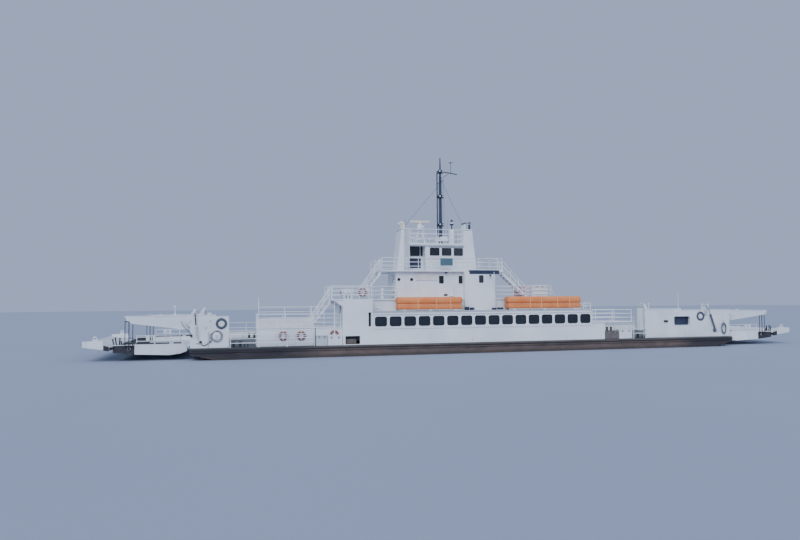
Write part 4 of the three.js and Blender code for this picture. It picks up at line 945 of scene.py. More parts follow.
def addFunnel(end):
    plan = funnels[end]
    top, lean = funnels["top"], plan["lean"]
    parts = []
    for x, t in plan["pipes"]:
        if lean:
            route = [(0, -0.1), (0, 0.25), (lean * 0.15, 0.46), (lean * 0.6, 0.56), (lean, 0.5)]
            tube = pipe([spot(x + dx, t, top + dz) for dx, dz in route], 0.13, smooth=True, rounds=3)
        else:
            tube = pole((x, t), top - 0.1, top + 0.5, 0.1, 16)
            parts.append(pole((x, t), top + 0.62, top + 0.7, 0.18, 16, 0.1))
            parts += [pole((x + d, t), top + 0.45, top + 0.64, 0.012, 6) for d in (-0.09, 0.09)]
        parts += [tube, pole((x, t), top, top + 0.06, 0.15, 16)]
    coat(creamPaint if end == "left" else mastPaint, *parts)
    (x0, x1), (t0, t1) = plan["x"], funnels["inboard"]
    outer, inner = (x0, x1) if end == "left" else (x1, x0)
    step = math.copysign(1, inner - outer)
    fittings = [box((outer + step * 0.36, inner), (t0 - 0.03, t1 + 0.03), (top - 0.06, top + 0.025), 0.012)]
    for k in range(7):  # louvres high on the far side
        z = top - 0.5 - 0.11 * k
        xs = (outer + step * 0.62, inner - step * 0.15)
        fittings.append(box(xs, (t1 - 0.01, t1 + 0.04), (z, z + 0.05)))
    parts += coat(housePaint, *fittings)
    if end == "left":  # grey strip down the near face, painted shade along a duct, and a weld line
        seam = box((-6.83, -6.42), (t0 - 0.012, t0 + 0.01), (7.1, top - 0.07))
        parts += coat(greyPaint, seam, box((-7.14, -6.4), (t0 - 0.01, t0 + 0.01), (9.94, 9.975)))
    piece(f"funnel_fittings_{end}", parts, galvanised, "white_paint")
    print("funnel fittings made,", end)


# Platform at the saloon's low right end
def addRightPlatform():
    low, high = extent("platform_right")
    x0, x1 = low.x, high.x
    deck, top = level["deck"], 2.5
    parts = [box((x0, x1), (0.06, 3), (top - 0.1, top), 0.012)]
    parts += [
        box((10.94, 11.04), (0.223, 3), (deck, top - 0.05), 0.01),
        box((x0, 11.04), (2.9, 3), (deck, top - 0.05), 0.01),
    ]
    route = [(x0 + 0.06, 0.12), (x1 - 0.05, 0.12), (x1 - 0.05, 2.9), (x0 + 0.06, 2.9)]
    parts += railing(route, top, (0.34, 0.69, 1.03))
    piece("right_platform_and_rail", parts, housePaint, "white_paint", stands=["platform_right"])


# Ramp gear: all places come from the pins, so the pieces here turn with the frame's joints
gear = {
    "beamPin": (24.52, 3.05), "beamEye": (28.9, 3.2), "rampPin": (24.52, 0.8), "rampEye": (28.9, 0.95),
    "cylinder": 0.19, "wall": (0.33, 0.6), "beam": (0.85, 1.12), "crank": 0.98, "chain": 1.2085, "end": 24.38,
    "spread": 0.28, "slot": ((21.62, 21.98), 2.8),
    "upright": {
        "eye": (24.05, 3.87), "foot": (23.85, 1.45), "barrel": 1.25, "shaft": 0.75,
        "crank": [
            (24.5, 2.8), (24.55, 3.3), (24.2, 3.84), (24.09, 3.97), (23.97, 3.95), (23.93, 3.82),
            (24.15, 3.0),
        ],
    },
    "leaning": {
        "eye": (21.9, 3.9), "foot": (22.7, 1.5), "barrel": 1.6, "shaft": 1.06,
        "crank": [
            (24.6, 2.8), (24.7, 3.35), (22.35, 3.42), (22.04, 3.96), (21.9, 4.01), (21.78, 3.94),
            (21.76, 3.35), (21.95, 3.0), (23.9, 2.75),
        ],
    },
}


def liftOf(end, side):  # only the near right cylinder leans back along its wall
    return gear["leaning" if end > 0 and side < 0 else "upright"]


def wallOutline(end, tops, slotted=False):  # tops are the corners of the upper edge
    x, z = gear["beamPin"]
    deck, inner, top = level["deck"] + 0.003, gear["end"], tops[-1][1]
    points = [(tops[0][0], deck), (inner, deck), (inner, z - 0.45), (x + 0.26, z - 0.2), (x + 0.26, z + 0.2)]
    points.append((inner, top))
    if slotted:
        (x0, x1), low = gear["slot"]
        points += [(x1, top), (x1, low), (x0, low), (x0, top)]
    return [(end * x, z) for x, z in points + tops[-2::-1]]


def bearings(end, side):  # the beam's bearing, its bolted cap, and the cylinder's foot pin
    place = placer(end, side)
    t0, t1 = gear["wall"]
    at = x, z = gear["beamPin"]
    parts = [
        pin(place, at, (t1 - 0.05, 0.847), 0.22, 24), pin(place, at, (t0 + 0.02, t0 - 0.035), 0.2, 24, 0.01),
        pin(place, at, (t0 - 0.02, t0 - 0.06), 0.1, 16, 0.01),
    ]
    for offset in circle(6, 0.15):
        bolt = place(x, t0 - 0.03, z) + offset
        parts.append(bar(bolt, bolt + Vector((0, side * 0.025, 0)), 0.022, 6))
    foot = liftOf(end, side)["foot"]
    parts += [
        pin(place, foot, (t0 + 0.05, 0.253), 0.09),
        pin(place, foot, (t0 + 0.01, t0 - 0.02), 0.19, 24, 0.008),
    ]
    return parts


# Bulwark and rail on the open side, with both gear walls there
def addFarSide():
    deck = level["deck"]
    outer = halfBeam - 0.1
    parts = [block((-23.3, outer - 0.1, deck), (23.3, outer, 1.65), 0.01)]
    parts.append(block((-23.3, outer - 0.16, 1.6), (23.3, outer + 0.03, 1.67), 0.02))
    for k in range(24):  # bulwark stays
        x = -22.5 + k * 45 / 23
        parts.append(plate([(outer - 0.1, deck), (outer - 0.42, deck), (outer - 0.1, 1.6)], "x", x, x + 0.03))
    parts += railing([(-23.2, 0.15), (23.2, 0.15)], deck, (1.0, 1.5), 3.0, side=1)
    piece("far_side_bulwark", parts, whitePaint, "white_paint", stands=["far_bulwark"])
    outer, inner = (halfBeam - t for t in gear["wall"])
    for name, end in ends.items():
        wall = wallOutline(end, [(23.4, 3.45), (gear["end"], 3.45)])
        parts = [plate(wall, "y", outer, inner, 0.015), *bearings(end, 1)]
        for x in (23.55, 24.15):
            rib = [(inner, deck), (inner - 0.2, deck), (inner, 2.6)]
            parts.append(plate(rib, "x", end * x, end * (x + 0.03)))
        stands = [f"gear_wall_far_{name}"]
        piece(f"far_gear_wall_plate_{name}", parts, whitePaint, "white_paint", stands=stands)


nearWalls = {
    "left": [(21.5, 3.38), (22.48, 3.38), (22.48, 3.5), (24.38, 3.5)],
    "right": [(15.27, 3.6), (19.09, 3.6), (19.09, 3.46), (24.38, 3.46)],
    "hatch": ((18.33, 20.06), (2.03, 2.87)),
}


def wallRibs(face, places):  # brackets on the inner side of a near gear wall
    outline = [(face + 0.27, 0.95), (face + 0.47, 0.95), (face + 0.27, 3.1)]
    return [plate(outline, "x", x, x + 0.04) for x in places]


def addLeftWall():
    t0, t1 = gear["wall"]
    face = spot(0, t0, 0).y
    parts = [plate(wallOutline(-1, nearWalls["left"]), "y", face, spot(0, t1, 0).y, 0.015)]
    parts += bearings(-1, -1)
    for x0, x1, top in ((-24.36, -22.5, 3.5), (-22.46, -21.5, 3.38)):
        parts.append(box((x0, x1), (t0 - 0.03, t0 + 0.01), (top - 0.06, top), 0.01))
    parts += wallRibs(face, (-22.0, -23.2))
    for x in (-23.05, -22.9):  # lamp stubs on the top edge
        parts += [pole((x, t0 + 0.13), 3.5, 3.6, 0.03, 10), ball(spot(x, t0 + 0.13, 3.61), 0.045)]
    # latch hook for the stowed beam, with its stay
    hook = [(-24.3, 1.95), (-24.42, 2.2), (-24.78, 2.52), (-25.05, 3.02)]
    parts += coat(tubePaint, pipe([spot(x, 0.27, z) for x, z in hook], 0.03))
    parts += coat(toePaint, pin(spot, (-24.3, 1.92), (0.34, 0.22), 0.1, 16))
    # hose reel and its swivel on the outer face, with guides and the hose's outlet
    reel = spot(-22.42, t0, 1.86)
    front = reel + Vector((0, -0.07, 0))
    spokes = [bar(front, front + turn, 0.022, 6) for turn in circle(4, 0.4, start=0.5)]
    parts += coat(galvanised, hoop(reel + Vector((0, -0.06, 0)), 0.4, 0.06, around=28))
    parts += coat(whitePaint, bar(reel, front, 0.34, 24, 0.26, edge=0.01), *spokes)
    parts += coat(greyPaint, bar(reel, reel + Vector((0, -0.12, 0)), 0.07, 14))
    parts += coat(greyPaint, *[pole((x, 0.3), 1.3, 2.02, 0.022) for x in (-22.98, -22.9, -22.82)])
    hose = [(-23.55, 1.38), (-23.6, 1.2), (-23.3, 1.12), (-23.05, 1.3), (-22.8, 1.5)]
    parts += coat(
        toePaint, pipe([spot(x, 0.29, z) for x, z in hose], 0.03, smooth=True, rounds=2),
        pin(spot, (-23.6, 1.42), (0.34, 0.24), 0.09, 14),
    )
    parts += coat(
        greyPaint, pole((-23.02, 0.3), 1.05, 2.2, 0.035),
        box((-23.3, -23.15), (0.3, 0.34), (2.42, 2.56), 0.01),
        box((-22.95, -22.83), (0.3, 0.34), (2.95, 3.07), 0.01),
    )
    piece("left_gear_wall_plate", parts, whitePaint, "white_paint", stands=["gear_wall_left"])


def cutBy(made, cutter):
    settle(cutter)
    modified(made, "BOOLEAN", object=cutter, operation="DIFFERENCE", solver="EXACT")
    bpy.data.objects.remove(cutter)
    return made


def addRightWall():
    t0, t1 = gear["wall"]
    face = spot(0, t0, 0).y
    (x0, x1), (z0, z1) = nearWalls["hatch"]
    hole = [(x0 + 0.1, z0), (x1 - 0.1, z0), (x1, z0 + 0.1), (x1, z1 - 0.1), (x1 - 0.1, z1), (x0 + 0.1, z1)]
    hole += [(x0, z1 - 0.1), (x0, z0 + 0.1)]
    wall = plate(wallOutline(1, nearWalls["right"], True), "y", face, spot(0, t1, 0).y)
    wall = cutBy(wall, plate(hole, "y", face - 0.5, face + 0.8))
    parts = [soften(wall, 0.012), *bearings(1, -1)]
    # dark plate behind the opening: painted shade of the space beyond it
    parts += coat(mastPaint, box((x0 - 0.1, x1 + 0.1), (t1 + 0.01, t1 + 0.06), (z0 - 0.1, z1 + 0.1), 0.01))
    for x0, x1, top in ((15.25, 19.1, 3.6), (19.12, 21.55, 3.46), (22.05, 24.36, 3.46)):
        parts.append(box((x0, x1), (t0 - 0.03, t0 + 0.01), (top - 0.06, top), 0.01))
    parts.append(pipe([(x, face - 0.005, z) for x, z in hole], 0.03, loop=True))
    # slanted stiffener, door-sized plate, pole and lamp
    slant = [(19.03, 3.52), (18.94, 3.52), (18.3, 2.86), (18.38, 2.86)]
    parts += [
        plate(slant, "y", face - 0.04, face + 0.01),
        box((22.5, 23.48), (t0 - 0.02, t0 + 0.01), (1.34, 2.84), 0.012, 2),
        pole((18.93, t0 + 0.12), 3.4, 5.02, 0.03, 8, 0.02), pole((15.8, t0 + 0.12), 3.6, 4.05, 0.04),
        ball(spot(15.8, t0 + 0.12, 4.08), 0.07),
    ]
    parts += coat(toePaint, box((17.26, 17.66), (t0 - 0.1, t0 + 0.01), (2.34, 2.52), 0.02))
    # fender ring that hangs at the wall's end, and its line
    fender = hoop((23.65, face - 0.12, 1.68), 0.46, 0.1, (0.35, 1, 0), 28, 12)
    fender.scale = (0.4, 1, 1)
    parts += coat(tubePaint, fender)
    parts += coat(rope, pipe([(23.65, face - 0.12, 2.2), (23.65, face - 0.02, 2.5)], 0.02))
    parts += wallRibs(face, (16.0, 17.0, 20.6, 21.3, 22.9))
    piece("right_gear_wall_plate", parts, whitePaint, "white_paint", stands=["gear_wall_right"])


# Lifting beam: a welded box with flanges, a crank behind the pin and an eye for the chain
beams = {
    "left": {"root": 3.5, "tip": [(28.71, 2.89), (29.21, 3.46)], "bump": 26.6},
    "right": {"root": 3.42, "tip": [(28.95, 2.92), (29.12, 3.02), (29.16, 3.32)], "bump": 25.8},
    "far": {"root": 3.3, "tip": [(28.71, 2.89), (29.18, 3.3)]},
    "lamp": 25.55,
}


def addBeam(end, side, name, body):
    place = placer(end, side)
    t0, t1 = gear["beam"]
    y0, y1 = place(0, t0, 0).y, place(0, t1, 0).y
    shape = beams["far" if side > 0 else "left" if end < 0 else "right"]
    lift = liftOf(end, side)
    root, tip = shape["root"], shape["tip"]
    web = [(24.2, 2.5), (24.7, 2.37), *tip, (24.6, root), (24.2, root - 0.08)]
    eye, chainPin = lift["eye"], gear["beamEye"]
    parts = [
        upright(end, web, y0, y1, 0.015), upright(end, lift["crank"], y0, place(0, gear["crank"], 0).y, 0.01),
        pin(place, eye, (t0 + 0.05, 0.253), 0.06, 16), pin(place, eye, (t0 + 0.01, t0 - 0.04), 0.1, 20, 0.01),
        pin(place, chainPin, (t1 - 0.05, 1.167), 0.11),
        pin(place, chainPin, (t0 + 0.01, t0 - 0.03), 0.14, 20, 0.01),
    ]
    lip = math.copysign(0.025, y0 - y1)
    (lowX, lowZ), (highX, highZ) = tip[0], tip[-1]
    top = [(24.62, root - 0.055), (highX - 0.05, highZ - 0.05)]
    top += [(highX - 0.02, highZ + 0.002), (24.62, root + 0.002)]
    low = [(24.75, 2.375), (lowX - 0.02, lowZ - 0.005), (lowX - 0.02, lowZ + 0.045), (24.75, 2.425)]
    parts += [upright(end, edge, y0 + lip, y0 - lip) for edge in (top, low)]

    def onTop(x, sunk):  # a place on the beam's sloping top
        return place(x, (t0 + t1) / 2, root + (highZ - root) / (highX - 24.6) * (x - 24.6) - sunk)

    if side < 0 and end < 0:  # lamp post on its gusset
        foot = onTop(beams["lamp"], 0.03)
        parts += [
            bar(foot, foot + Vector((0, 0, 0.72)), 0.045, 10, 0.035),
            block(foot + Vector((-0.12, -0.04, 0.66)), foot + Vector((0.06, 0.04, 0.76)), 0.015),
        ]
        gusset = [(foot.x - 0.14, foot.z), (foot.x + 0.14, foot.z), (foot.x, foot.z + 0.26)]
        parts.append(plate(gusset, "y", foot.y - 0.02, foot.y + 0.02))
    if side < 0:
        foot = onTop(shape["bump"], 0.02)
        parts.append(block(foot + Vector((-0.09, -0.06, 0)), foot + Vector((0.09, 0.06, 0.1)), 0.02))
    piece(f"{name}_box_beam", parts, whitePaint, "white_paint", body, [name])


def addChain(end, side, name, body):
    place = placer(end, side)
    x, topZ = gear["beamEye"]
    lowZ = gear["rampEye"][1]
    t, reach = gear["chain"], gear["spread"]
    top, low = place(x, t, topZ - 0.1), place(x, t, lowZ + 0.1)
    count = 15
    step = (low - top) / (count * 2)
    link = hoop((0, 0, 0), 0.034, 0.014, around=14, across=6)
    link.scale = (0.85, 1.55, 1)
    settle(link)
    pair = merge([link, copyOf(link, step, 90)])
    parts = [moved(rowOf(pair, count, step * 2), top + step / 2)]
    parts += [pin(place, (x, z), (1.172, 1.245), 0.1, 18, 0.01) for z in (topZ, lowZ)]
    for z in (topZ - 0.16, lowZ + 0.16):  # spreader bars
        bars = (end * x - reach - 0.03, end * x + reach + 0.03)
        parts.append(box(bars, (t - 0.022, t + 0.022), (z - 0.035, z + 0.035), 0.01, side=side))
    for shift in (-reach, reach):
        line = [place(x, t, z) + Vector((shift, 0, 0)) for z in (topZ - 0.16, lowZ + 0.16)]
        parts.append(pipe(line, 0.027))
        for z in (topZ - 0.24, lowZ + 0.24):
            clamp = place(x, t, z) + Vector((shift, 0, 0))
            parts.append(bar(clamp - Vector((0, 0, 0.05)), clamp + Vector((0, 0, 0.05)), 0.028, 8))
    piece(f"{name}_links", parts, chainSteel, "dark_paint", body, [name])


# Hydraulic cylinders: the tube on the barrel's body, the rod with its eye on the rod's body
def addCylinder(end, side, name, bodies):
    plan, place = liftOf(end, side), placer(end, side)
    foot, eye = (place(x, gear["cylinder"], z) for x, z in (plan["foot"], plan["eye"]))
    along, across = (eye - foot).normalized(), Vector((0, 0.058, 0))
    tube = plan["barrel"]
    parts = [bar(foot - across, foot + across, 0.12, 24, edge=0.01)]
    for start, stop, radius in ((0.15, tube, 0.085), (tube - 0.15, tube, 0.1), (0.14, 0.26, 0.1)):
        parts.append(bar(foot + along * start, foot + along * stop, radius, 24, edge=0.01))
    parts.append(bar(foot, foot + along * 0.2, 0.055, 12))
    ports = [foot + along * 0.2, foot + along * (tube - 0.1)]
    outer = Vector((0, side * 0.11, 0))
    parts += [bar(port, port + outer, 0.024, 8) for port in ports]
    parts += coat(galvanised, pipe([port + outer for port in ports], 0.014))
    finish, slot, steel = (whitePaint, "white_paint", chainSteel)
    if end > 0:
        finish, slot, steel = (tubePaint, "dark_paint", chrome)
    piece(f"{bodies}_tube", parts, finish, slot, f"barrel_{bodies}", [f"barrel_{name}"])
    parts = coat(steel, bar(foot + along * plan["shaft"], eye, 0.04, 16))
    parts += coat(
        whitePaint, bar(eye - across, eye + across, 0.1, 24, edge=0.01),
        bar(eye - along * 0.22, eye - along * 0.06, 0.058, 16, edge=0.008),
    )
    piece(f"{bodies}_shaft", parts, steel, "bright_steel", f"rod_{bodies}", [f"rod_{name}"])


# Ramp: deck plate with cleats, girders, stiffened side plates, rails and the tarred toe section
rampPlan = {
    "in": 24.68, "out": 30.05, "toe": 28.5, "side": 1.3, "hinges": (2.4, 7, 11.6),
    # x, lean and height of the posts on the toe
    "posts": [(29.42, 0.04, 0.34), (29.6, -0.05, 0.58), (29.78, 0.1, 0.62), (29.95, 0.12, 0.5)],
}


def hingeBars(end, pinAt, radius, tongue):  # knuckles of a hinge and what ties them to the plate
    x, z = pinAt
    for station in rampPlan["hinges"]:
        y = spot(0, station, 0).y
        yield bar((end * x, y - 0.247, z), (end * x, y + 0.247, z), radius, 20)
        to, low, high = tongue
        yield block((end * x, y - 0.247, low), (end * to, y + 0.247, high))


def addRampSide(end, side, white, dark):
    edge, inner, out, toe = rampPlan["side"], rampPlan["in"], rampPlan["out"], rampPlan["toe"]
    place = placer(end, side)
    y0, y1 = place(0, edge, 0).y, place(0, edge + 0.1, 0).y

    def strip(a, b, inboards, heights, rounding=0.0):
        return box((end * a, end * b), inboards, heights, rounding, side=side)

    outline = [(inner, 0.68), (inner + 0.5, 0.5), (26, 0.4), (28.4, 0.5), (toe, 0.51), (toe, 1.24)]
    outline += [(toe - 0.1, 1.36), (inner + 0.4, 1.36), (inner, 1.03)]
    white.append(upright(end, outline, y0, y1, 0.01))
    dark.append(upright(end, [(toe, 0.51), (out, 0.68), (out, 1.18), (toe, 1.24)], y0, y1, 0.01))
    white.append(strip(inner + 0.4, toe - 0.1, (edge - 0.02, edge + 0.13), (1.31, 1.36), 0.01))
    if end < 0:  # dark strips on the coaming: painted shadow of the gap between the side plate and the rail
        for a, b in ((25.1, 25.68), (25.98, 27.0), (27.1, 28.4)):
            dark.append(strip(a, b, (edge - 0.025, edge + 0.14), (1.29, 1.38)))
    for at in (25.4, 26.4, 27.4):
        white.append(strip(at, at + 0.05, (edge - 0.02, edge + 0.02), (0.5, 1.32)))
    white.append(pin(place, gear["rampEye"], (1.25, edge + 0.02), 0.12))
    rail = edge + 0.05
    white += railing([(end * 25.2, rail), (end * 28.35, rail)], 1.15, (0.36, 0.78), 1.0, side)
    for at, size in ((27.1, 0.1), (27.55, 0.13)):  # boxes on the rail posts
        white.append(strip(at - size, at + size, (rail - 0.04, rail + 0.04), (1.52, 1.92), 0.015))
    white.append(strip(toe, out - 0.02, (edge - 0.012, edge + 0.1), (1.2, 1.26), 0.01))
    for at, lean, height in rampPlan["posts"] if side < 0 else ():
        foot = place(at, rail, 1.16)
        tip = foot + Vector((end * lean, 0, height))
        dark += [bar(foot, tip, 0.055, 10, 0.045), ball(tip, 0.065)]
    x, z = flapPlan["pin"]
    dark += [
        pin(place, (x, z), (edge, edge + 0.1), 0.1, 16),
        strip(out - 0.1, x, (edge, edge + 0.1), (0.93, 1.07)),
    ]


def addRamp(end, name, body):
    edge, inner, out, toe = rampPlan["side"], rampPlan["in"], rampPlan["out"], rampPlan["toe"]
    far = 2 * halfBeam - edge
    white, dark = [], []

    def across(a, b, inset, heights, rounding=0.0):  # a strip from one side plate to the other
        return box((end * a, end * b), (edge + inset, far - inset), heights, rounding)

    white.append(across(inner, toe, 0.05, (0.8, 0.92)))
    dark.append(across(toe, out, 0.05, (0.8, 0.92)))
    for side in sides.values():
        addRampSide(end, side, white, dark)
    for k in range(26):  # cleats across the ramp's deck
        x = inner + 0.35 + k * 0.135
        white += coat(greyPaint, across(x, x + 0.03, 0.15, (0.91, 0.935)))
    for k in range(9):  # rubber-shod fingers of the toe
        t = edge + 0.2 + k * (far - edge - 0.9) / 8
        dark.append(box((end * (toe + 0.05), end * (out - 0.05)), (t, t + 0.5), (0.9, 1.02), 0.03))
    for at in (25.6, 26.8, 28.0, 29.2):  # girders
        (white if at < toe else dark).append(across(at, at + 0.12, 0.05, (0.58, 0.82)))
    white += hingeBars(end, gear["rampPin"], 0.09, (inner + 0.1, 0.76, 0.86))
    ears = [(out - 0.1, 0.82), (30.28, 0.95), (30.28, 1.05), (out - 0.1, 1.12)]
    for station in rampPlan["hinges"]:
        y = spot(0, station, 0).y
        dark += [upright(end, ears, y + ear * 0.25, y + ear * 0.33) for ear in (-1, 1)]
    coat(toePaint, *dark)
    piece(f"{name}_structure", white + dark, whitePaint, "white_paint", body, [name])


flapPlan = {
    "pin": (30.2, 1.0), "inner": 30.34, "tip": 32.2,
    # outlines of the side plates, from the inner end: x and height
    "horn": [(0.62, 1.2), (1.24, 1.3), (1.06, 1.93), (0.88, 1.93)],
    "tar": [(0.0, 0.8), (0.38, 0.86), (0.38, 1.24), (0.0, 1.14)],
}


def addFlap(end, name, body):
    edge, farEdge = rampPlan["side"], 2 * halfBeam - rampPlan["side"]
    inner, tip = flapPlan["inner"], flapPlan["tip"]
    outline = [(inner, 0.8), (inner + 0.3, 0.88), (tip, 1.1), (tip, 1.42), (inner, 1.1)]
    parts = [upright(end, outline, spot(0, edge, 0).y, spot(0, farEdge, 0).y, 0.015)]
    parts += hingeBars(end, flapPlan["pin"], 0.08, (inner + 0.1, 0.96, 1.04))
    cheek = [(inner + 0.36, 0.98), (tip, 1.1), (tip, 1.56), (inner + 0.42, 1.6)]
    horn, tar = ([(inner + x, z) for x, z in flapPlan[key]] for key in ("horn", "tar"))
    for side in sides.values():
        place = placer(end, side)
        for shape, t0, t1, rounding, finish in (
            (cheek, 0.004, 0.07, 0.01, whitePaint), (horn, 0, 0.1, 0.01, whitePaint),
            (tar, -0.01, 0.08, 0.0, toePaint),
        ):
            near, far = place(0, edge + t0, 0).y, place(0, edge + t1, 0).y
            parts += coat(finish, upright(end, shape, near, far, rounding))
        hole = place(inner + 0.97, edge - 0.004, 1.78)
        parts += coat(toePaint, bar(hole, hole + Vector((0, -side * 0.108, 0)), 0.055, 16))
    for k in range(12):  # grip bars, painted over
        x = inner + 0.2 + k * 0.14
        z = 1.1 + (x - inner) * 0.32 / (tip - inner)
        parts.append(box((end * x, end * (x + 0.03)), (edge + 0.2, farEdge - 0.2), (z - 0.02, z + 0.02)))
    parts += coat(greyPaint, box((end * (tip - 0.02), end * (tip + 0.003)), (edge, farEdge), (1.27, 1.4)))
    piece(f"{name}_tongue", parts, whitePaint, "white_paint", body, [name])


# Lockers on the deck's edge: shells over the frame's blocks
lockers = [
    # x from, x to, inboard from, inboard to, top, finish
    (-13.8, -12.65, 0.1, 0.75, 1.7, "white"), (-14.74, -13.85, 0.1, 0.75, 1.75, "grey"),
    # the brown box beside the right white locker is painted shade of a recess
    (12.5, 13.8, 0.12, 0.62, 1.75, "white"), (11.15, 12.4, 0.14, 0.6, 1.6, "brown"),
]


def addLockers():
    parts = []
    for x0, x1, t0, t1, top, tone in lockers:
        finish = {"white": whitePaint, "grey": greyPaint, "brown": recessShadePaint}[tone]
        lid = ((x0 - 0.03, x1 + 0.03), (t0 - 0.03, t1 + 0.03), (top - 0.09, top + 0.01), 0.025, 2)
        case = ((x0 - 0.01, x1 + 0.01), (t0 - 0.01, t1 + 0.01), (level["deck"], top - 0.08), 0.02)
        parts += coat(finish, box(*case), box(*lid))
        for x in ((x0 * 3 + x1) / 4, (x0 + x1 * 3) / 4):
            latch = box((x - 0.05, x + 0.05), (t0 - 0.045, t0), (top - 0.22, top - 0.05), 0.01)
            parts += coat(galvanised, latch)
    piece("deck_lockers", parts, whitePaint, "white_paint")


# Doors: pressed leaves with a seal, lever handles, a pane and knuckled hinges
doors = {
    "saloon": {"x": 2.4, "width": 0.9, "low": 1.03, "high": 2.98, "inboard": 4.6},
    "tower": {"x": -7.8, "inboard": (2.4, 3.2), "low": 4.74, "high": 6.64},
}


def addSaloonDoor():
    plan = doors["saloon"]
    x, t = plan["x"], plan["inboard"]
    x0, x1 = x + 0.05, x + plan["width"] - 0.05
    z0, z1 = plan["low"] + 0.05, plan["high"] - 0.05
    pane, paneHeights = (x0 + 0.2, x1 - 0.2), (2.2, 2.75)
    parts = [box((x0, x1), (t - 0.05, t + 0.01), (z0, z1), 0.015, 2)]
    parts.append(box((x0 + 0.12, x1 - 0.12), (t - 0.055, t + 0.018), (z0 + 0.1, z0 + 0.75), 0.012))
    parts += coat(windowGlass, box(pane, (t - 0.056, t + 0.017), paneHeights, 0.01))
    seal = [(pane[0], 2.2), (pane[1], 2.2), (pane[1], 2.75), (pane[0], 2.75)]
    parts += coat(rubber, pipe([spot(px, t + 0.015, pz) for px, pz in seal], 0.018, loop=True))
    for face in (-0.06, 0.03):
        grip = [(x1 - 0.08, t + face * 0.4), (x1 - 0.08, t + face), (x1 - 0.24, t + face)]
        parts += coat(galvanised, pipe([spot(*place, 1.98) for place in grip], 0.014))
    for z in (plan["low"] + 0.35, plan["low"] + 1.55):
        knuckle = pole((x - 0.05, t + 0.035), z, z + 0.16, 0.035, 12)
        strap = box((x - 0.05, x + 0.2), (t + 0.005, t + 0.03), (z + 0.02, z + 0.14), 0.006)
        parts += coat(galvanised, knuckle, strap)
    piece("saloon_door_leaf", parts, housePaint, "white_paint", "door_saloon", ["saloon_door"])


def addTowerDoor():
    plan = doors["tower"]
    x, (t0, t1) = plan["x"], plan["inboard"]
    z0, z1 = plan["low"] + 0.05, plan["high"] - 0.05
    parts = [box((x - 0.01, x + 0.05), (t0 + 0.05, t1 - 0.05), (z0, z1), 0.015, 2)]
    parts.append(box((x - 0.018, x + 0.055), (t0 + 0.15, t1 - 0.15), (z0 + 0.1, z0 + 0.8), 0.012))
    middle = (t0 + t1) / 2
    parts += coat(housePaint, hoop(spot(x - 0.012, middle, 6.15), 0.15, 0.022, (1, 0, 0), 20))
    parts += coat(windowGlass, bar(spot(x - 0.016, middle, 6.15), spot(x + 0.056, middle, 6.15), 0.14, 20))
    for face in (-0.05, 0.09):
        grip = [(x + face * 0.5, t1 - 0.13), (x + face, t1 - 0.13), (x + face, t1 - 0.29)]
        parts += coat(galvanised, pipe([spot(*place, 5.6) for place in grip], 0.014))
    hinge = t0 - 0.05
    for z in (plan["low"] + 0.35, plan["low"] + 1.55):
        knuckle = pole((x - 0.035, hinge), z, z + 0.16, 0.035, 12)
        strap = box((x - 0.03, x - 0.005), (hinge, hinge + 0.25), (z + 0.02, z + 0.14), 0.006)
        parts += coat(galvanised, knuckle, strap)
    piece("tower_door_leaf", parts, housePaint, "white_paint", "door_tower", ["tower_door"])


# Thrusters: a bolted flange, a faired leg and a torpedo-shaped pod; the propeller turns on its own body
thrusterPlan = {"x": 15, "z": -2.35, "half": 0.65, "bottom": -1.5, "blades": 4}


def addThruster(end, endName):
    plan = thrusterPlan
    x, z, bottom = end * plan["x"], plan["z"], plan["bottom"]
    parts = [
        bar((x, 0, bottom - 0.07), (x, 0, bottom - 0.003), 0.56, 32, edge=0.015),
        bar((x, 0, bottom - 0.3), (x, 0, bottom - 0.06), 0.42, 28, 0.52),
        ball((x, 0, (bottom + z) / 2), (0.34, 0.13, 0.62), 18),
        ball((x - end * 0.05, 0, z), (0.66, 0.27, 0.27), 24),
        bar((x + end * 0.35, 0, z), (x + end * plan["half"], 0, z), 0.25, 24, 0.27),
        block((x - 0.3, -0.02, z - 0.5), (x + 0.25, 0.02, z), 0.01),
    ]
    for offset in circle(12, 0.49, "z"):
        bolt = Vector((x, 0, bottom - 0.09)) + offset
        parts.append(bar(bolt, bolt + Vector((0, 0, 0.04)), 0.03, 6))
    stands = [f"thruster_{endName}"]
    piece(f"thruster_{endName}_fairing", parts, hullPaint, "dark_paint", f"pod_{endName}", stands)


def addPropeller(end, endName):
    plan = thrusterPlan
    z = plan["z"]
    root = end * (plan["x"] + plan["half"] + 0.003)
    parts = [
        bar((root, 0, z), (root + end * 0.22, 0, z), 0.25, 24, 0.2),
        ball((root + end * 0.2, 0, z), (0.16, 0.2, 0.2), 16),
    ]
    for k in range(plan["blades"]):
        blade = settle(ball((0, 0, 0), (0.028, 0.19, 0.27), 14))
        bpy.ops.object.mode_set(mode="EDIT")
        bpy.ops.mesh.select_all(action="SELECT")
        bpy.ops.transform.rotate(value=math.radians(32), orient_axis="Z", center_override=(0, 0, 0))
        bpy.ops.object.mode_set(mode="OBJECT")
        turned = Matrix.Translation(Vector((root + end * 0.14, 0, z)) * metre)
        turned = turned @ Matrix.Rotation(2 * math.pi * k / plan["blades"], 4, "X")
        blade.matrix_world = turned @ Matrix.Translation(Vector((0, 0, 0.36)) * metre)
        parts.append(blade)
    stands = [f"propeller_{endName}"]
    piece(f"propeller_{endName}_blades", parts, bronze, "bronze", f"screw_{endName}", stands)


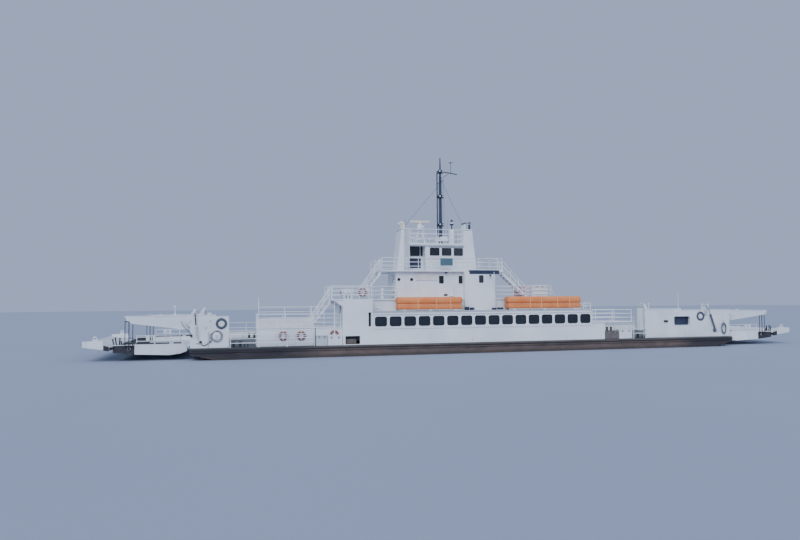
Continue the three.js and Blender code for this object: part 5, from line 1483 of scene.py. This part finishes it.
# Fittings on the house: fascia, blank plates, lamps, vents, downpipes and handrail
def addHouseFittings():
    # inboard distance of each wall: bridge deck's edge, annex, tower, wheelhouse and its bay
    deckEdge, annex, tower, walls, bay = 1.3, 1.1, 1.7, 2.5, 3.3
    parts = coat(
        # dark fascia along the bridge deck's edge: painted shade of the edge's shaded underside
        mastPaint, box((-1.38, 1.38), (annex - 0.03, deckEdge + 0.01), (6.76, 7.09), 0.01),
        box((-6.17, -5.13), (bay - 0.02, bay + 0.01), (7.36, 8.22), 0.01),  # dark panel under the bay's windows, painted shade of the wall there
        box((-4.62, -1.42), (walls - 0.03, walls + 0.01), (9.16, 9.2), 0.006),  # gutter
    )
    # plain boards on the tower and on the bridge rail
    parts += coat(boardPaint, box((-6.0, -4.13), (tower - 0.04, tower + 0.01), (6.25, 6.86), 0.012))
    parts += coat(tealPaint, box((-3.9, -2.78), (1.4, 1.435), (7.49, 8.13), 0.01))
    rim = [(-6.0, 6.25), (-4.13, 6.25), (-4.13, 6.86), (-6.0, 6.86)]
    parts += coat(
        housePaint, pipe([spot(x, tower - 0.03, z) for x, z in rim], 0.025, loop=True),
        pole((-5.37, bay - 0.06), 7.1, 8.3, 0.035),
        box((-6.3, -4.95), (bay - 0.07, bay + 0.01), (8.26, 8.33), 0.01),
    )
    parts += coat(rubber, box((-3.52, -3.2), (tower - 0.02, tower + 0.01), (4.88, 5.03)))
    # lamps on brackets under the bridge deck's edge
    for x, z, wall in ((-3.34, 6.82, tower), (0.5, 6.6, annex)):
        parts += coat(
            mastPaint, bar(spot(x, wall + 0.01, z), spot(x, wall - 0.18, z + 0.04), 0.03, 8),
            bar(spot(x, wall - 0.16, z + 0.08), spot(x, wall - 0.2, z - 0.05), 0.1, 14, 0.07),
        )
        parts += coat(lens, ball(spot(x, wall - 0.2, z - 0.07), (0.07, 0.07, 0.05), 12))
    # mushroom vents on the boat deck, and dark vents over the saloon
    for foot in ((-2.86, 1.52), (-9.2, 3.4), (5.2, 3.9)):
        parts += [pole(foot, 4.64, 4.86, 0.09, 14), pole(foot, 4.84, 4.97, 0.19, 16, 0.13, 0.012)]
    for x0, x1, top in ((-1.9, -1.52, 3.92), (-1.42, -1.05, 3.86), (0.6, 1.0, 3.82), (1.1, 1.62, 3.84)):
        parts += coat(mastPaint, box((x0, x1), (0.8, 1.0), (3.66, top), 0.02))
    # downpipes, and a handrail along the wheelhouse
    for x, wall, low in ((-4.3, tower, 4.7), (-2.62, tower, 4.7), (0.9, annex, 3.7)):
        parts += coat(housePaint, pole((x, wall - 0.03), low, 6.95, 0.025))
    parts += coat(housePaint, pipe([spot(x, walls - 0.06, 8.2) for x in (-4.8, -1.5)], 0.02))
    for x in (-4.8, -3.53, -2.42, -1.5):
        parts += coat(housePaint, pin(spot, (x, 8.2), (walls - 0.06, walls + 0.01), 0.014, 6))
    piece("house_fittings", parts, housePaint, "white_paint")


# Boat deck gear: the canister on its cradle, lockers, a post with its stay, deck boxes
def addBoatDeckGear():
    deck, roof = level["boatDeck"], level["saloonRoof"]
    t, z = 0.78, 5.16  # axis of the canister
    parts = coat(whitePaint, bar(spot(-12.65, t, z), spot(-11.66, t, z), 0.31, 24, edge=0.05))
    for x in (-12.5, -12.155, -11.81):
        parts += coat(greyPaint, bar(spot(x - 0.025, t, z), spot(x + 0.025, t, z), 0.318, 24))
    for x in (-12.43, -12.1, -11.88):
        parts += coat(whitePaint, box((x - 0.07, x + 0.07), (t - 0.26, t + 0.26), (deck, 4.96), 0.01))
    parts += coat(whitePaint, box((-12.5, -11.8), (t - 0.3, t + 0.3), (deck, deck + 0.05), 0.01))
    for x0, x1, t0, t1, height, finish in (
        (4.72, 6.33, 1.62, 2.33, 1.17, whitePaint), (3.47, 4.63, 2.42, 3.03, 1.12, pinkPaint),
    ):
        top = deck + height
        case = box((x0 + 0.02, x1 - 0.02), (t0 + 0.02, t1 - 0.02), (deck, top - 0.06), 0.02)
        parts += coat(finish, case, box((x0, x1), (t0, t1), (top - 0.08, top), 0.025, 2))
        for x in ((x0 * 2 + x1) / 3, (x0 + x1 * 2) / 3):
            latch = box((x - 0.05, x + 0.05), (t0 - 0.02, t0 + 0.02), (top - 0.2, top - 0.07))
            parts += coat(galvanised, latch)
    parts.append(pole((-9.0, 1.7), deck, 5.55, 0.14, 16, edge=0.03))
    # diagonal stay from the deck's end rail down to the roof
    parts.append(pipe([spot(6.55, 1.55, 5.6), spot(6.95, 1.5, 4.7), spot(7.05, 1.5, 3.66)], 0.025))
    parts += railing([(9.0, 0.2), (9.7, 0.2), (9.7, 4.4), (7.2, 4.4)], roof, (0.27, 0.52), 0.9)
    for foot in ((-9.6, 0.8), (7.6, 2.4), (8.6, 3.2)):  # mushroom vents
        parts += [
            pole(foot, roof, roof + 0.26, 0.1, 14),
            pole(foot, roof + 0.24, roof + 0.38, 0.2, 16, 0.13, 0.012),
        ]
    parts.append(box((7.0, 8.2), (1.6, 2.1), (roof, roof + 0.4), 0.03))
    piece("boat_deck_gear", parts, housePaint, "white_paint")


# Left platform: blank board on its rail, corner posts and wall seams
def addPlatformGear():
    top, rail, wall = level["platform"], 0.76, 0.7
    parts = coat(boardPaint, box((-19.34, -14.9), (rail - 0.03, rail + 0.02), (top + 0.04, top + 0.68), 0.01))
    for x in (-19.3, -17.8, -16.3, -14.95):
        parts.append(box((x, x + 0.05), (rail - 0.045, rail - 0.03), (top + 0.02, top + 0.7)))
    for x in (-19.35, -17.9, -16.45, -15.0, -13.55):
        parts.append(box((x, x + 0.06), (wall - 0.05, wall + 0.01), (0.94, 2.36), 0.008))
    parts.append(box((-19.42, -12.62), (wall - 0.05, wall + 0.01), (2.33, 2.43), 0.012))
    parts += coat(tubePaint, pole((-14.83, 0.1), 0.93, 2.36, 0.04, 10))
    # taller rail along the platform's inner edge, with a lamp post at each end
    for x0, x1 in ((-19.15, -14.78), (-14.7, -13.6)):
        parts += railing([(x0, 4.3), (x1, 4.3)], top, (1.2, 1.6), 2.2)
    parts += [pole((-19.15, 4.3), top, 4.85, 0.04), pole((-13.25, 0.3), 0.93, 4.56, 0.045, 10)]
    piece("platform_gear", parts, housePaint, "white_paint")


# Deck edge and hull: rubber strake, bollards, fairleads, lane lines, fender in the niche
def bollards(x, inboard, side):
    deck = level["deck"]
    place = spot(x, inboard, deck, side)
    parts = [block(place + Vector((-0.45, -0.14, 0)), place + Vector((0.45, 0.14, 0.04)), 0.012)]
    for shift in (-0.25, 0.25):
        post = place + Vector((shift, 0, 0))
        parts += [
            bar(post, post + Vector((0, 0, 0.42)), 0.1, 18),
            bar(post + Vector((0, 0, 0.38)), post + Vector((0, 0, 0.45)), 0.13, 18, edge=0.015),
        ]
    return parts


def addDeckGear():
    deck = level["deck"]
    parts = []
    for side, inboard, places in ((-1, 0.55, (-20.9, 14.4)), (1, 0.75, (-19.6, -9.5, 0.0, 9.5, 19.6))):
        for x in places:
            parts += bollards(x, inboard, side)
    for x in (-20.2, 14.95):  # guide posts
        parts += [pole((x + shift, 0.16), deck, deck + 0.26, 0.05, 12, 0.04) for shift in (-0.12, 0.12)]
    coat(toePaint, *parts)
    parts += coat(housePaint, *railing([(14.0, 0.2), (15.3, 0.2)], deck, (0.45, 0.88), 1.3))
    for x in (-8.0, 12.0):  # capstans on the open side
        for low, high, radius, tip, edge in (
            (0, 0.14, 0.26, None, 0.02), (0.12, 0.5, 0.17, 0.12, 0), (0.48, 0.56, 0.2, None, 0.015),
        ):
            one, other = (spot(x, 0.9, deck + lift, 1) for lift in (low, high))
            parts += coat(greyPaint, bar(one, other, radius, 24, tip, edge))
    heights = (0.92, 0.936)  # painted lane lines and end stop lines
    for y in (-1.9, 1.35, 4.6):
        for k in range(13):
            x = -20.4 + 3.3 * k
            parts += coat(boardPaint, block((x, y - 0.06, heights[0]), (x + 1.6, y + 0.06, heights[1])))
    for x in (-22.9, 22.9):
        parts += coat(boardPaint, block((x - 0.1, -5.4, heights[0]), (x + 0.1, 5.4, heights[1])))
    for x in (-16.5, -5.5, 5.5, 16.5):  # flush hatches
        parts += coat(toePaint, bar((x, 3.0, deck - 0.01), (x, 3.0, deck + 0.012), 0.4, 28))
    # fender in the niche, with a dark backing that is painted shade of the niche, and the rubber strip beside
    # the saloon
    parts += coat(rubber, box((-12.5, -11.3), (0.4, 0.56), (1.4, 1.65), 0.03, 2))
    parts += coat(recessShadePaint, box((-12.4, -11.45), (0.42, 0.56), (0.95, 1.42), 0.03, 2))
    parts += coat(rubber, box((-10.43, -10.33), (0.4, 0.5), (2.42, 3.53)))
    piece("deck_gear", parts, toePaint, "dark_paint")


def addHullFittings():
    parts = []
    for side in sides.values():
        edge = side * halfBeam
        parts += coat(rubber, box((-24.3, 24.3), (-0.012, 0.06), (0.66, 0.8), 0.02, side=side))
        for k in range(24):  # frames that show through the plating
            x = -23.5 + 47 * k / 23
            parts.append(block((x - 0.03, edge - side * 0.11, 0.1), (x + 0.03, edge - side * 0.095, 0.6)))
    x, z = gear["rampPin"]
    for end in ends.values():
        for station in rampPlan["hinges"]:
            for ear in (-1, 1):
                y = spot(0, station, 0).y + ear * 0.35
                parts += coat(galvanised, bar((end * x, y, z), (end * x, y + ear * 0.05, z), 0.07, 14))
        for y in (-4.6, 4.6):
            parts += coat(rubber, block((end * 24.38, y - 0.5, 0.5), (end * 24.46, y + 0.5, 0.82), 0.03))
    piece("hull_fittings", parts, hullPaint, "hull_paint")


for build in (
    addRails, addSaloonWindows, addTowerLights, addHouseWindows, addLifebuoys, addStairs, addMast, addRadar,
    addRoof, addRightPlatform, addFarSide, addLeftWall, addRightWall, addLockers, addSaloonDoor, addTowerDoor,
    addHouseFittings, addBoatDeckGear, addPlatformGear, addDeckGear, addHullFittings,
):
    build()
    print("done:", build.__name__)
for endName, end in ends.items():
    addFloats(endName)
    addFunnel(endName)
    addThruster(end, endName)
    addPropeller(end, endName)
    addRamp(end, f"ramp_{endName}", f"ramp_{endName[0]}")
    addFlap(end, f"flap_{endName}", f"flap_{endName[0]}")
    for sideName, side in sides.items():
        place, body = f"{endName}_{sideName}", f"{endName[0]}_{sideName}"
        addBeam(end, side, f"beam_{place}", f"beam_{body}")
        addChain(end, side, f"chain_{place}", f"chain_{body}")
        addCylinder(end, side, place, body)
print("ramp gear made")
